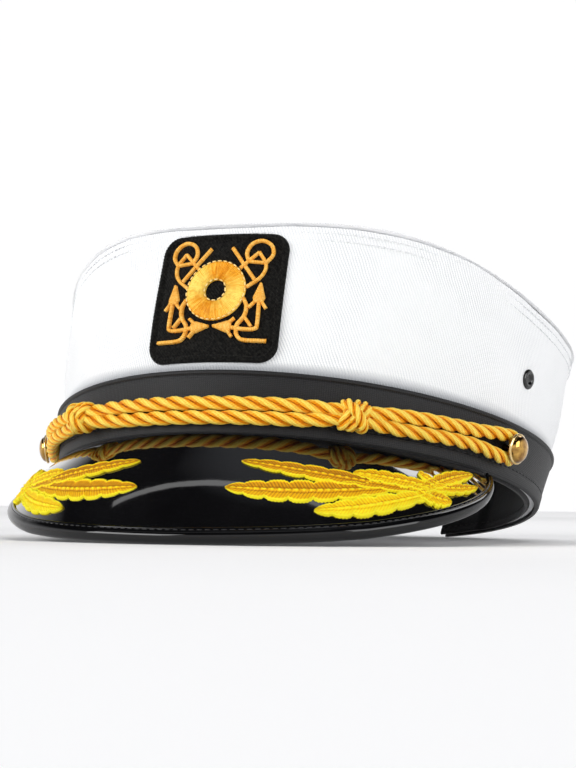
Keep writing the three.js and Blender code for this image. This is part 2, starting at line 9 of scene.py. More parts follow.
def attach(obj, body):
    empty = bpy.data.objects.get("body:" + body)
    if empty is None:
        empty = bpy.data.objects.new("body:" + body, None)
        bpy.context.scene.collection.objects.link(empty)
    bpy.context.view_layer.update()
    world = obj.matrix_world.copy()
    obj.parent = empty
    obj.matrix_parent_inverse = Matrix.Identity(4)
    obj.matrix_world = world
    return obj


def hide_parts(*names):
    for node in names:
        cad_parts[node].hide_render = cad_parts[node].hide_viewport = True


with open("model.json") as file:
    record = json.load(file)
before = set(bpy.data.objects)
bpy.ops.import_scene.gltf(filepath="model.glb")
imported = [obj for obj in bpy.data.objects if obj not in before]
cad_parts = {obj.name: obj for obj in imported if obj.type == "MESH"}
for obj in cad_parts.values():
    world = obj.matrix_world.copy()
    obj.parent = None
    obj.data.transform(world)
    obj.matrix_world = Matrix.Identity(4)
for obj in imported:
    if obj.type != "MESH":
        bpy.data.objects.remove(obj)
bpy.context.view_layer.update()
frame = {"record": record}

# Captain hat. Shapes are drawn in the hat's own level frame in millimetres, with the head oval's
# centre at 0 and its lower rim at height 0, and are then tipped to where the hat rests.
# An angle round the head is 0 at the front and grows towards +X, the wearer's left.

# Sizes of the solids, in millimetres
HEAD_HALF_WIDTH = 82.5
HEAD_HALF_LENGTH = 97.5
SWEATBAND_THICK = 1.4
SEAM = 0.5
GAP = 0.3
CLOTH_THICK = 1.5
CROWN_FOOT = 1.2
CROWN_HEIGHT = 70.5
CROWN_SHIFT = 2.5
CROWN_BULGE = 1.6
TOP_RISE = 5
TOP_OVERHANG = 0.5
EDGE_OUT = (0, 0.03, 0.138, 0.17, 0.25)
EDGE_UP = (1, 1.01, 0.81, 0.88, 0.85)
BAND_THICK = 1.6
BAND_HEIGHT = 21
BAND_HEIGHT_BACK = 18
OPENING_HALF = 32
OPENING_SPRING = 24
OPENING_TOP = 44
STRAP_THICK = 1.2
STRAP_HEIGHT = 22
STRAP_FOOT = 6
STRAP_OVERLAP = 17
VISOR_THICK = 2
VISOR_REACH = 44
VISOR_HALF_ANGLE = 66
VISOR_END_REACH = 5
VISOR_DROP_FRONT = 63
VISOR_DROP_SIDE = 44
VISOR_ARCH = 2.6
VISOR_LIFT = 1.6
BINDING_WIDTH = 3.6
BINDING_THICK = 0.9
PATCH_WIDTH = 46
PATCH_HEIGHT = 44.5
PATCH_CORNER = 6
PATCH_FOOT = 2.8
PATCH_ANGLE = 0
RING_RADIUS = 10.3
RING_HOLE = 3.6
CORD_WIDTH = 4.5
CORD_LEVEL = 10.5
CORD_SAG = 3.4
KNOT_ANGLE = 31
KNOT_LENGTH = 9
KNOT_LIFT = 2.2
BUTTON_ANGLE = 70.5
BUTTON_WIDTH = 10.8
BUTTON_DOME = 3.4
SHANK_WIDTH = 2.2
CORD_CLEAR = 0.6
EYELET_ANGLE = 76
EYELET_RISE = 0.42
EYELET_HOLE = 3.2
EYELET_BARREL = 4.8
EYELET_FLANGE = 7.2

CROWN_INNER = SWEATBAND_THICK + SEAM
BAND_INNER = CROWN_INNER + CLOTH_THICK + SEAM
BAND_OUTER = BAND_INNER + BAND_THICK
MEAN_RADIUS = (HEAD_HALF_WIDTH + HEAD_HALF_LENGTH) / 2
CORD_RADIUS = CORD_WIDTH / 2
RUN_SPREAD = CORD_RADIUS + GAP / 2
TAU = 2 * math.pi

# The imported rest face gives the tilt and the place: it lies on the band's lower rim
RIM_FACE = frame["record"]["mounts"][0]
RIM_FACE_DEGREES = 93
TILT = math.asin(-RIM_FACE["axis"][1])
TURN = np.array([
    [1, 0, 0],
    [0, math.cos(TILT), math.sin(TILT)],
    [0, -math.sin(TILT), math.cos(TILT)],
])


def beside_head(degrees, out, up):
    """A place `out` mm off the head oval and `up` mm above its rim."""
    turn, out, up = np.broadcast_arrays(np.radians(degrees), out, up)
    x = (HEAD_HALF_WIDTH + out) * np.sin(turn)
    y = -(HEAD_HALF_LENGTH + out) * np.cos(turn)
    return np.stack([x, y, up.astype(float)], axis=-1)


RIM_MIDDLE = beside_head(RIM_FACE_DEGREES, BAND_INNER + BAND_THICK / 2, 0)
ORIGIN = 1000 * np.array(RIM_FACE["pos_m"]) - TURN @ RIM_MIDDLE


def to_row(points):
    """Hat millimetres to the row's metres."""
    return (np.asarray(points) @ TURN.T + ORIGIN) / 1000


def round_head(shares):
    """Even curve round the head through shares of the crown's height, given at equal steps from front
    to back, as a sum of cosine waves."""
    last = len(shares) - 1
    weight = [0.5 if at in (0, last) else 1 for at in range(last + 1)]
    waves = []
    for wave in range(last + 1):
        turns = [math.cos(math.pi * wave * at / last) for at in range(last + 1)]
        part = sum(weight[at] * share * turns[at] for at, share in enumerate(shares))
        waves.append(2 * weight[wave] / last * CROWN_HEIGHT * part)

    def curve(degrees):
        return sum(height * np.cos(wave * np.radians(degrees)) for wave, height in enumerate(waves))

    return curve


edge_out = round_head(EDGE_OUT)
edge_up = round_head(EDGE_UP)


def wall_point(degrees, rise, out):
    """A place that follows the crown wall's lean and belly; `rise` is 1 at the crown's edge."""
    degrees, rise = np.broadcast_arrays(degrees, rise)
    lean = rise * edge_out(degrees) + CROWN_BULGE * np.sin(math.pi * np.clip(rise, 0, 1)) ** 2
    point = beside_head(degrees, out + lean, rise * edge_up(degrees))
    point[..., 0] += CROWN_SHIFT * rise ** 2
    return point


def crown_point(degrees, rise, off=0):
    """A place `off` mm outwards from the middle of the crown wall's cloth."""
    return wall_point(degrees, rise, CROWN_INNER + CLOTH_THICK / 2 + off)


def band_point(degrees, out, up):
    """A place beside the head that leans with the crown wall, `up` mm above the rim."""
    return wall_point(degrees, up / edge_up(degrees), out)


def band_top(degrees):
    """Height of the band's upper edge, which is tallest in front."""
    frontness = (1 + np.cos(np.radians(degrees))) / 2
    return BAND_HEIGHT_BACK + (BAND_HEIGHT - BAND_HEIGHT_BACK) * frontness ** 2


def unit(vectors):
    return vectors / np.linalg.norm(vectors, axis=-1, keepdims=True)


def outward_of(surface, u, v, step_u, step_v):
    """Direction straight out of a surface, by small steps each way on it."""
    along_u = surface(u + step_u, v) - surface(u - step_u, v)
    along_v = surface(u, v + step_v) - surface(u, v - step_v)
    return unit(np.cross(along_u, along_v))


def band_face(degrees, up):
    return band_point(degrees, BAND_OUTER, up)


def out_of_band(degrees, up):
    return outward_of(band_face, degrees, up, 1, 1)


def on_band(degrees, up, off=0):
    """A place `off` mm straight out of the band's outer face."""
    return band_face(degrees, up) + out_of_band(degrees, up) * np.asarray(off)[..., None]


def visor_reach(degrees):
    """Width of the visor from band to edge, full in front and short at its ends."""
    turn = np.abs(degrees) / VISOR_HALF_ANGLE
    return np.maximum(VISOR_REACH * np.clip(1 - turn ** 2.2, 0, 1) ** 0.62, VISOR_END_REACH)


def visor_point(degrees, across, off=0):
    """A place on the visor; `across` is 0 at the band and 1 at the edge."""
    degrees, across = np.broadcast_arrays(degrees, across)
    turn = np.abs(degrees) / VISOR_HALF_ANGLE
    drop = np.radians(VISOR_DROP_FRONT + (VISOR_DROP_SIDE - VISOR_DROP_FRONT) * turn ** 1.6)
    reach = visor_reach(degrees)
    arch = VISOR_ARCH * (reach / VISOR_REACH) * np.sin(math.pi * across) + off
    out = reach * across * np.cos(drop) + arch * np.sin(drop)
    up = -reach * across * np.sin(drop) + arch * np.cos(drop)
    lift = VISOR_LIFT * across ** 2 * np.cos(math.pi * np.clip(turn / 0.5, 0, 1) / 2)
    root = (BAND_INNER + BAND_OUTER) / 2
    return beside_head(degrees, root + out, up + lift - GAP - VISOR_THICK / 2 * np.cos(drop))


PATCH_MIDDLE = BAND_HEIGHT + PATCH_FOOT + PATCH_HEIGHT / 2
DEGREES_PER_MM = math.degrees(1 / (HEAD_HALF_WIDTH + BAND_OUTER))


def on_panel(x, y, off):
    """Front panel as a drawing board: x mm to the right and y mm up from the patch's middle."""
    x, y = np.broadcast_arrays(x, y)
    degrees = PATCH_ANGLE + x * DEGREES_PER_MM
    rise = (PATCH_MIDDLE + y) / edge_up(PATCH_ANGLE)
    outward = outward_of(crown_point, degrees, rise, 1, 0.01)
    place = crown_point(degrees, rise * edge_up(PATCH_ANGLE) / edge_up(degrees))
    return place + outward * (CLOTH_THICK / 2 + GAP + np.asarray(off))[..., None]


def smooth(value, low, high):
    """0 at `low` and 1 at `high`, with a soft start and end."""
    share = np.clip((value - low) / (high - low), 0, 1)
    return share * share * (3 - 2 * share)


def soft_waves(seed, count, spread, u, v):
    """Gentle uneven relief between about -1 and 1, repeating once round the head in u (degrees)."""
    chance = np.random.default_rng(seed)
    total = 0
    for _ in range(count):
        turns = chance.integers(2, spread)
        slant = chance.uniform(-3, 3)
        phase = chance.uniform(0, TAU)
        total = total + np.sin(turns * np.radians(u) + slant * v + phase) / math.sqrt(count)
    return total


# Meshes

def signed_volume(points, faces):
    """Six times the volume inside a shell of four-sided faces; below 0 where they face inwards."""
    first, second, third, fourth = (points[faces[:, corner]] for corner in range(4))
    return np.sum(first * np.cross(second, third)) + np.sum(first * np.cross(third, fourth))


def show(name, data):
    """An object in the scene for a mesh, curve, lamp or camera."""
    shown = bpy.data.objects.new(name, data)
    bpy.context.scene.collection.objects.link(shown)
    return shown


def running_length(places):
    """Length along a row of places, from 0 at the first."""
    return np.concatenate([[0], np.cumsum(np.linalg.norm(np.diff(places, axis=0), axis=1))])


def loft(name, grid, material, joined=False, along=None, across=None, crease=50):
    """A closed mesh through rings of equally many places. Its UV map is in millimetres: u along
    the rings' row and v round each ring. Edges sharper than `crease` degrees stay sharp."""
    rings, count = grid.shape[:2]
    if along is None:
        along = running_length(grid.mean(axis=1))
    if across is None:
        middle = grid[rings // 2]
        across = running_length(np.concatenate([middle, middle[:1]]))
    if joined and len(along) == rings:
        along = np.append(along, along[-1] + np.linalg.norm(grid[0].mean(axis=0) - grid[-1].mean(axis=0)))
    row = np.arange(rings if joined else rings - 1)[:, None]
    column = np.arange(count)[None, :]
    after_row = (row + 1) % rings
    after_column = (column + 1) % count
    corners = [
        (row * count + column, row, column),
        (row * count + after_column, row, column + 1),
        (after_row * count + after_column, row + 1, column + 1),
        (after_row * count + column, row + 1, column),
    ]
    faces = np.stack([np.broadcast_to(index, (len(row), count)) for index, _, _ in corners], axis=-1)
    faces = faces.reshape(-1, 4)
    maps = [np.stack(np.broadcast_arrays(along[ring], across[step]), axis=-1) for _, ring, step in corners]
    uv = np.stack(maps, axis=2).reshape(-1, 4, 2)
    places = to_row(grid.reshape(-1, 3))
    flip = signed_volume(places - places.mean(axis=0), faces) < 0
    if flip:
        faces = faces[:, ::-1]
        uv = uv[:, ::-1]
    polygons = faces.tolist()
    uv_rows = uv.reshape(-1, 2)
    if not joined:
        first = list(range(count))
        last = list(range((rings - 1) * count, rings * count))
        for cap, turned in ((first, not flip), (last, flip)):
            order = np.arange(count)[::-1] if turned else np.arange(count)
            polygons.append([cap[at] for at in order])
            ends = np.stack([np.full(count, along[0 if cap is first else -1]), across[order]], axis=-1)
            uv_rows = np.concatenate([uv_rows, ends])
    mesh = bpy.data.meshes.new(name)
    mesh.from_pydata(places.tolist(), [], polygons)
    layer = mesh.uv_layers.new(name="UVMap")
    layer.data.foreach_set("uv", uv_rows.astype(np.float32).ravel())
    mesh.polygons.foreach_set("use_smooth", [True] * len(mesh.polygons))
    mesh.set_sharp_from_angle(angle=math.radians(crease))
    mesh.materials.append(material)
    return show(name, mesh)


def keep_values(piece, name, values):
    """A number at each place of a lofted mesh, in the order of its rings, for its material."""
    layer = piece.data.attributes.new(name, "FLOAT", "POINT")
    layer.data.foreach_set("value", np.asarray(values).astype(np.float32).ravel())


def join_meshes(name, pieces):
    """Several meshes as one object, their UV maps kept."""
    with bpy.context.temp_override(
        active_object=pieces[0], selected_objects=pieces, selected_editable_objects=pieces, object=pieces[0]
    ):
        bpy.ops.object.join()
    pieces[0].name = name
    pieces[0].data.name = name
    return pieces[0]


def hand_over(piece, slot, *nodes):
    """The finished piece rides on the hat's one body and stands for its solids."""
    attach(piece, "root")
    if nodes:
        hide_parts(*nodes)
    return piece


# Colours and nodes

def srgb(hex_colour):
    """An sRGB hex colour as linear RGBA."""
    parts = [int(hex_colour[at:at + 2], 16) / 255 for at in (1, 3, 5)]
    linear = [part / 12.92 if part <= 0.04045 else ((part + 0.055) / 1.055) ** 2.4 for part in parts]
    return (*linear, 1)


def set_stops(ramp, stops):
    """Colour stops of a ramp, as (place, hex colour) pairs from its low end to its high end."""
    ramp.elements[0].position = stops[0][0]
    ramp.elements[1].position = stops[-1][0]
    for place, _ in stops[1:-1]:
        ramp.elements.new(place)
    for element, (_, colour) in zip(ramp.elements, stops):
        element.color = srgb(colour)


def feed(tree, node, inputs):
    """Sets a node's inputs. Each is a value, an output socket, or a node whose first output is meant."""
    for key, value in inputs.items():
        if isinstance(value, bpy.types.Node):
            value = value.outputs[0]
        if isinstance(value, bpy.types.NodeSocket):
            tree.links.new(value, node.inputs[key])
        else:
            node.inputs[key].default_value = value


def add(tree, kind, inputs=None, stops=None, **settings):
    """Adds a node with its settings, its links and, for a colour ramp, its stops."""
    made = tree.nodes.new(kind)
    for name, value in settings.items():
        setattr(made, name, value)
    if stops:
        set_stops(made.color_ramp, stops)
    feed(tree, made, inputs or {})
    return made


def start_material(name):
    material = bpy.data.materials.new(name)
    material.use_nodes = True
    tree = material.node_tree
    tree.nodes.clear()
    shader = add(tree, "ShaderNodeBsdfPrincipled")
    add(tree, "ShaderNodeOutputMaterial", {"Surface": shader})
    return material, tree, shader


def millimetres(tree):
    """u and v of the piece's UV map, which is in millimetres."""
    uv = add(tree, "ShaderNodeUVMap", uv_map="UVMap")
    split = add(tree, "ShaderNodeSeparateXYZ", {"Vector": uv})
    return split.outputs["X"], split.outputs["Y"]


def weigh(tree, start, *parts):
    """Patterns added up from a start value, as (pattern, weight) pairs. A weight may be a pattern too."""
    total = start
    for pattern, weight in parts:
        total = add(tree, "ShaderNodeMath", {0: pattern, 1: weight, 2: total}, operation="MULTIPLY_ADD")
    return total


def stripes(tree, u, v, every_u, every_v=math.inf):
    """Waves between 0 and 1 that come again after so much of u and so much of v."""
    phase = weigh(tree, 0, (u, TAU / every_u), (v, TAU / every_v))
    wave = add(tree, "ShaderNodeMath", {0: phase}, operation="SINE")
    return weigh(tree, 0.5, (wave, 0.5))


def cloud(tree, size_mm, detail=3, vector=None, roughness=0.5):
    """Noise between 0 and 1 in patches of about that size, on Object coordinates, which are in metres,
    or on a vector in millimetres."""
    scale = 1 / size_mm
    if vector is None:
        vector = add(tree, "ShaderNodeTexCoord").outputs["Object"]
        scale = 1000 / size_mm
    inputs = {"Vector": vector, "Scale": scale, "Detail": detail, "Roughness": roughness}
    return add(tree, "ShaderNodeTexNoise", inputs)


def emboss(tree, shader, *layers):
    """Relief on the surface, as (height, depth in millimetres) pairs, each laid over the one before."""
    for height, depth_mm in layers:
        inputs = {"Height": height, "Distance": depth_mm / 1000, "Strength": 1.0}
        below = shader.inputs["Normal"].links
        if below:
            inputs["Normal"] = below[0].from_socket
        feed(tree, shader, {"Normal": add(tree, "ShaderNodeBump", inputs)})


# Materials

def cotton_twill():
    """Bleached cotton twill, woven: steep diagonal ribs, soft and matt, pressed smooth in patches, with
    painted shade, grey, where the cloth is tucked in above the band. The ribs are 1 mm apart, coarser than
    the real thread, so that they show."""
    material, tree, shader = start_material("bleached_cotton_twill")
    u, v = millimetres(tree)
    ribs = stripes(tree, weigh(tree, u, (cloud(tree, 9, 2), 1.4)), v, 1.05, 1.9)
    threads = stripes(tree, u, v, 2.9, -0.6)
    weave = weigh(tree, ribs, (threads, 0.25), (cloud(tree, 0.5, 2), 0.5))
    ribbed = add(tree, "ShaderNodeValToRGB", {"Fac": weave}, stops=((0.2, "#D2D4D8"), (1, "#F7F8F8")))
    patches = cloud(tree, 26, 2)
    pressed = add(tree, "ShaderNodeMapRange", {"Value": patches, "From Min": 0.4, "From Max": 0.62})
    smooth_share = weigh(tree, 0, (pressed, 0.75))
    smooth_white = srgb("#F1F2F3")
    cloth = add(tree, "ShaderNodeMix", {"Factor": smooth_share, "A": ribbed, "B": smooth_white},
                data_type="RGBA").outputs["Result"]
    # Painted shade: grey mixed in where the cloth is tucked in above the band, as kept on the crown wall
    painted_tuck_shade = add(tree, "ShaderNodeAttribute", attribute_name="painted_tuck_shade").outputs["Fac"]
    painted_shade_share = weigh(tree, 0, (painted_tuck_shade, weigh(tree, 0.7, (weave, 0.3))))
    shaded = add(tree, "ShaderNodeMix", {"Factor": painted_shade_share, "A": cloth, "B": srgb("#94979C")},
                 data_type="RGBA").outputs["Result"]
    feed(tree, shader, {"Base Color": shaded, "Roughness": 0.92, "Specular IOR Level": 0.25,
                        "Sheen Weight": 0.25, "Sheen Roughness": 0.5})
    emboss(tree, shader, (cloud(tree, 14, 2), 0.5), (weave, 0.11))
    return material


def white_lining():
    """Inside of the crown, woven polyester satin: smooth white with a low silky sheen."""
    material, tree, shader = start_material("white_satin_lining")
    u, v = millimetres(tree)
    whites = ((0.3, "#E9EAEC"), (0.7, "#FBFBFC"))
    tint = add(tree, "ShaderNodeValToRGB", {"Fac": cloud(tree, 20, 2)}, stops=whites)
    feed(tree, shader, {"Base Color": tint, "Roughness": 0.5, "Specular IOR Level": 0.4, "Sheen Weight": 0.3})
    emboss(tree, shader, (cloud(tree, 12), 1.2), (stripes(tree, u, v, 0.5), 0.02))
    return material


def band_tape():
    """Black polyester band tape, tightly woven: a fine pebbled grain with a low satin shine."""
    material, tree, shader = start_material("black_band_tape")
    u, v = millimetres(tree)
    warp = stripes(tree, u, v, 0.75)
    weft = stripes(tree, u, v, math.inf, 0.6)
    grain = weigh(tree, 0, (warp, weft), (cloud(tree, 0.8), 0.6))
    tint = add(tree, "ShaderNodeValToRGB", {"Fac": grain}, stops=((0.25, "#0A0A0C"), (1, "#1D1D1F")))
    feed(tree, shader, {"Base Color": tint, "Roughness": 0.55, "Specular IOR Level": 0.35,
                        "Sheen Weight": 0.06})
    emboss(tree, shader, (grain, 0.1))
    return material


def brushed_cloth():
    """Black brushed polyester of the sweatband and strap: a matt nap with grey flecks of lint."""
    material, tree, shader = start_material("black_brushed_cloth")
    u, v = millimetres(tree)
    nap = cloud(tree, 0.9, 4, roughness=0.7)
    tint = add(tree, "ShaderNodeValToRGB", {"Fac": nap}, stops=((0.35, "#161617"), (0.75, "#262628")))
    feed(tree, shader, {"Base Color": tint, "Roughness": 0.85, "Specular IOR Level": 0.25,
                        "Sheen Weight": 0.3, "Sheen Roughness": 0.4})
    emboss(tree, shader, (weigh(tree, nap, (stripes(tree, u, v, 0.9, 1.1), 0.35)), 0.12))
    return material


def patent_plastic(name, ior, coat):
    """Black patent, moulded over board: near-mirror gloss with a faint orange peel and soft smears."""
    material, tree, shader = start_material(name)
    smears = cloud(tree, 22)
    tint = add(tree, "ShaderNodeValToRGB", {"Fac": smears}, stops=((0.3, "#050506"), (0.7, "#0B0B0C")))
    feed(tree, shader, {"Base Color": tint, "Roughness": weigh(tree, 0.03, (smears, 0.08)), "IOR": ior,
                        "Coat Weight": coat, "Coat Roughness": 0.04, "Coat IOR": 1.6})
    emboss(tree, shader, (cloud(tree, 7, 2), 0.03))
    return material


def visor_underside():
    """Underside of the visor, embossed board cloth: black, finely grained and half matt."""
    material, tree, shader = start_material("black_board_cloth")
    grain = cloud(tree, 1.1)
    tint = add(tree, "ShaderNodeValToRGB", {"Fac": grain}, stops=((0.3, "#131314"), (0.7, "#1E1E20")))
    feed(tree, shader, {"Base Color": tint, "Roughness": 0.55})
    emboss(tree, shader, (grain, 0.08))
    return material


# Length of the thread map round the emblem's ring, and where on it the first pale quarter of the painted
# sheen starts
RING_MAP_LENGTH = 60
PAINTED_SHEEN_START = 10.8


def satin_stitch(name, shadow, middle, light, pitch, depth=0.1, sheen=0.0):
    """Machine embroidery in shiny rayon: threads side by side `pitch` mm apart, each one catching the
    light along its back. With `sheen`, a painted sheen: threads that turn through a ring are painted
    paler and darker by turns, twice round the ring."""
    material, tree, shader = start_material(name)
    u, v = millimetres(tree)
    threads = stripes(tree, weigh(tree, u, (cloud(tree, 3, 2), 1.6)), v, pitch)
    lengthwise = add(tree, "ShaderNodeCombineXYZ", {"X": u, "Y": weigh(tree, 0, (v, 0.12))})
    single = cloud(tree, 0.8, 3, lengthwise)
    tone = weigh(tree, -0.12 - sheen / 2, (threads, 0.25), (cloud(tree, 2.6, 2), 0.3), (single, 0.75))
    # Painted sheen: colour paler and darker by turns round the ring, standing in for light on the satin
    if sheen:
        painted_sheen_quarters = stripes(tree, weigh(tree, PAINTED_SHEEN_START, (u, 1)), v, RING_MAP_LENGTH / 2)
        tone = weigh(tree, tone, (painted_sheen_quarters, sheen))
    golds = ((0.12, shadow), (0.4, middle), (0.72, light))
    tint = add(tree, "ShaderNodeValToRGB", {"Fac": tone}, stops=golds)
    feed(tree, shader, {"Base Color": tint, "Roughness": 0.45, "Specular IOR Level": 0.18})
    emboss(tree, shader, (threads, depth))
    return material


def leaf_stitch():
    """Machine embroidery in bright yellow rayon, its colour set by a kept tone that holds painted light:
    painted highlights, lemon yellow, on the raised border and the midrib's beads, and painted shade, darker
    gold, in the grooves beside the midrib and on one half of each leaf. Threads are 0.5 mm apart."""
    material, tree, shader = start_material("yellow_satin_stitch")
    u, v = millimetres(tree)
    # The kept tone is painted light: highlight on the border and midrib beads, shade in the grooves and on
    # one half
    laid = add(tree, "ShaderNodeAttribute", attribute_name="tone").outputs["Fac"]
    threads = stripes(tree, weigh(tree, u, (cloud(tree, 3, 2), 1.2)), v, 0.5, 0.5 / 0.6)
    tone = weigh(tree, -0.2, (laid, 1), (threads, 0.16), (cloud(tree, 1.4), 0.3))
    yellows = ((0.05, "#A66A00"), (0.3, "#E09A00"), (0.62, "#FFD000"), (0.95, "#FFF028"))
    tint = add(tree, "ShaderNodeValToRGB", {"Fac": tone}, stops=yellows)
    feed(tree, shader, {"Base Color": tint, "Roughness": 0.45, "Specular IOR Level": 0.18})
    emboss(tree, shader, (threads, 0.12))
    return material


def rope_rayon():
    """Gold rayon cord, twisted from fine yarns, with painted light: painted highlights on each strand's back,
    and painted shade, brown, in the grooves between the strands. The yarns are 0.5 mm apart."""
    material, tree, shader = start_material("gold_rayon_cord")
    u, v = millimetres(tree)
    yarns = stripes(tree, u, v, 2.6, 0.5)
    # Painted light from the kept depth: pale on the strands' backs, brown in the grooves between them
    depth = add(tree, "ShaderNodeAttribute", attribute_name="depth").outputs["Fac"]
    tone = weigh(tree, -0.06, (depth, 0.7), (yarns, 0.2), (cloud(tree, 0.7), 0.3))
    golds = ((0.1, "#5E2200"), (0.36, "#D46C00"), (0.62, "#FBA800"), (0.92, "#FFE868"))
    tint = add(tree, "ShaderNodeValToRGB", {"Fac": tone}, stops=golds)
    feed(tree, shader, {"Base Color": tint, "Roughness": 0.42, "Specular IOR Level": 0.2})
    emboss(tree, shader, (yarns, 0.12))
    return material


def patch_twill():
    """Black embroidery twill of the patch, woven and napped: matt diagonal ribs under a fuzzy nap with
    grey flecks. The ribs are about 1.1 mm apart, coarser than the real thread, so that they show."""
    material, tree, shader = start_material("black_patch_twill")
    place = add(tree, "ShaderNodeTexCoord").outputs["Object"]
    split = add(tree, "ShaderNodeSeparateXYZ", {"Vector": place})
    ribs = stripes(tree, split.outputs["X"], split.outputs["Z"], 0.0011, 0.0013)
    fuzz = cloud(tree, 0.8, 4, roughness=0.7)
    tint = add(tree, "ShaderNodeValToRGB", {"Fac": fuzz}, stops=((0.42, "#030303"), (0.75, "#282724")))
    feed(tree, shader, {"Base Color": tint, "Roughness": 0.9, "Specular IOR Level": 0.12,
                        "Sheen Weight": 0.04})
    emboss(tree, shader, (weigh(tree, 0, (ribs, 0.6), (fuzz, 1.6)), 0.22))
    return material


def sewing_thread(name, dark, light, roughness):
    """Spun thread: a slight shine, and a tone that wanders along it."""
    material, tree, shader = start_material(name)
    tint = add(tree, "ShaderNodeValToRGB", {"Fac": cloud(tree, 0.6, 2)}, stops=((0.3, dark), (0.7, light)))
    feed(tree, shader, {"Base Color": tint, "Roughness": roughness})
    return material


def gilt_brass(name, dark, light):
    """Gilt brass, pressed and buffed under clear lacquer: a warm mirror with faint swirls."""
    material, tree, shader = start_material(name)
    tint = add(tree, "ShaderNodeValToRGB", {"Fac": cloud(tree, 3, 2)}, stops=((0.35, dark), (0.7, light)))
    feed(tree, shader, {"Base Color": tint, "Roughness": weigh(tree, 0.03, (cloud(tree, 0.9, 4), 0.06)),
                        "Metallic": 1.0, "Coat Weight": 0.6, "Coat Roughness": 0.03})
    return material


def lacquered_metal():
    """Pressed steel eyelets in gloss black lacquer: small sharp highlights."""
    material, tree, shader = start_material("black_lacquered_eyelet")
    blacks = ((0.3, "#040405"), (0.7, "#0A0A0B"))
    tint = add(tree, "ShaderNodeValToRGB", {"Fac": cloud(tree, 2, 2)}, stops=blacks)
    feed(tree, shader, {"Base Color": tint, "Roughness": weigh(tree, 0.1, (cloud(tree, 1.5), 0.15)),
                        "IOR": 1.5, "Coat Weight": 0.3, "Coat Roughness": 0.05})
    return material


TWILL = cotton_twill()
LINING = white_lining()
TAPE = band_tape()
SWEAT_CLOTH = brushed_cloth()
PATENT = patent_plastic("black_patent", 1.75, 1.0)
PATENT_STRIP = patent_plastic("black_patent_strip", 1.38, 0.12)
UNDERSIDE = visor_underside()
LEAF_THREAD = leaf_stitch()
EMBLEM_THREAD = satin_stitch("old_gold_satin_stitch", "#B8640A", "#F0A22C", "#FFCE6E", 0.5)
# The ring's thread has a painted sheen
RING_THREAD = satin_stitch("old_gold_ring_stitch", "#C86400", "#F7A816", "#FFDE6A", 0.55, 0.12, sheen=0.34)
RIM_THREAD = sewing_thread("pale_gold_thread", "#F0BE55", "#FFE6A0", 0.4)
ROPE = rope_rayon()
PATCH_CLOTH = patch_twill()
THREAD_BLACK = sewing_thread("black_sewing_thread", "#0E0E0F", "#2A2A2C", 0.5)
THREAD_WHITE = sewing_thread("white_sewing_thread", "#D8DADD", "#F4F5F6", 0.6)
GILT = gilt_brass("polished_gilt_brass", "#8A5F20", "#D6A850")
# Paler gilt for the buttons' rims: a painted highlight
GILT_RIM_PAINTED_HIGHLIGHT = gilt_brass("gilt_rim_painted_highlight", "#D9B46A", "#F4DFA8")
EYELET_METAL = lacquered_metal()


# Stitches, by geometry nodes along a seam line

def stitch_tree():
    """A row of short thread loops along a curve, each a flattened capsule turned along the seam."""
    tree = bpy.data.node_groups.new("stitch_row", "GeometryNodeTree")
    sockets = tree.interface
    sockets.new_socket("Geometry", in_out="INPUT", socket_type="NodeSocketGeometry")
    for name, size in (("Pitch", 0.003), ("Length", 0.0022), ("Thickness", 0.0005)):
        sockets.new_socket(name, in_out="INPUT", socket_type="NodeSocketFloat").default_value = size
    sockets.new_socket("Thread", in_out="INPUT", socket_type="NodeSocketMaterial")
    sockets.new_socket("Geometry", in_out="OUTPUT", socket_type="NodeSocketGeometry")
    given = add(tree, "NodeGroupInput").outputs
    spaced = add(tree, "GeometryNodeResampleCurve", {"Curve": given["Geometry"], "Length": given["Pitch"]},
                 mode="LENGTH")
    tangent = add(tree, "GeometryNodeInputTangent")
    turned = add(tree, "FunctionNodeAlignRotationToVector", {"Vector": tangent}, axis="X")
    bead = add(tree, "GeometryNodeMeshUVSphere", {"Segments": 8, "Rings": 6, "Radius": 0.5})
    size = add(tree, "ShaderNodeCombineXYZ",
               {"X": given["Length"], "Y": given["Thickness"], "Z": given["Thickness"]})
    loop = add(tree, "GeometryNodeTransform", {"Geometry": bead, "Scale": size})
    placed = add(tree, "GeometryNodeInstanceOnPoints",
                 {"Points": spaced, "Instance": loop, "Rotation": turned})
    real = add(tree, "GeometryNodeRealizeInstances", {"Geometry": placed})
    rounded = add(tree, "GeometryNodeSetShadeSmooth", {"Geometry": real})
    coloured = add(tree, "GeometryNodeSetMaterial", {"Geometry": rounded, "Material": given["Thread"]})
    add(tree, "NodeGroupOutput", {"Geometry": coloured})
    return tree


STITCH_TREE = stitch_tree()


def stitches(name, routes, thread, slot, pitch=3.0, length=2.2, thickness=0.55):
    """Rows of stitches along routes in hat millimetres, as one plain mesh."""
    curve = bpy.data.curves.new(name + "_route", "CURVE")
    curve.dimensions = "3D"
    for route in routes:
        places = to_row(route)
        spline = curve.splines.new("POLY")
        spline.points.add(len(places) - 1)
        spline.points.foreach_set("co", np.column_stack([places, np.ones(len(places))]).ravel())
    guide = show(name + "_guide", curve)
    maker = guide.modifiers.new("stitches", "NODES")
    maker.node_group = STITCH_TREE
    sizes = {"Pitch": pitch / 1000, "Length": length / 1000, "Thickness": thickness / 1000, "Thread": thread}
    for socket in STITCH_TREE.interface.items_tree:
        if socket.in_out == "INPUT" and socket.name in sizes:
            maker[socket.identifier] = sizes[socket.name]
    bpy.context.view_layer.update()
    evaluated = guide.evaluated_get(bpy.context.evaluated_depsgraph_get())
    mesh = bpy.data.meshes.new_from_object(evaluated)
    bpy.data.objects.remove(guide)
    mesh.name = name
    return hand_over(show(name, mesh), slot)


# Camera and stage come before the pieces

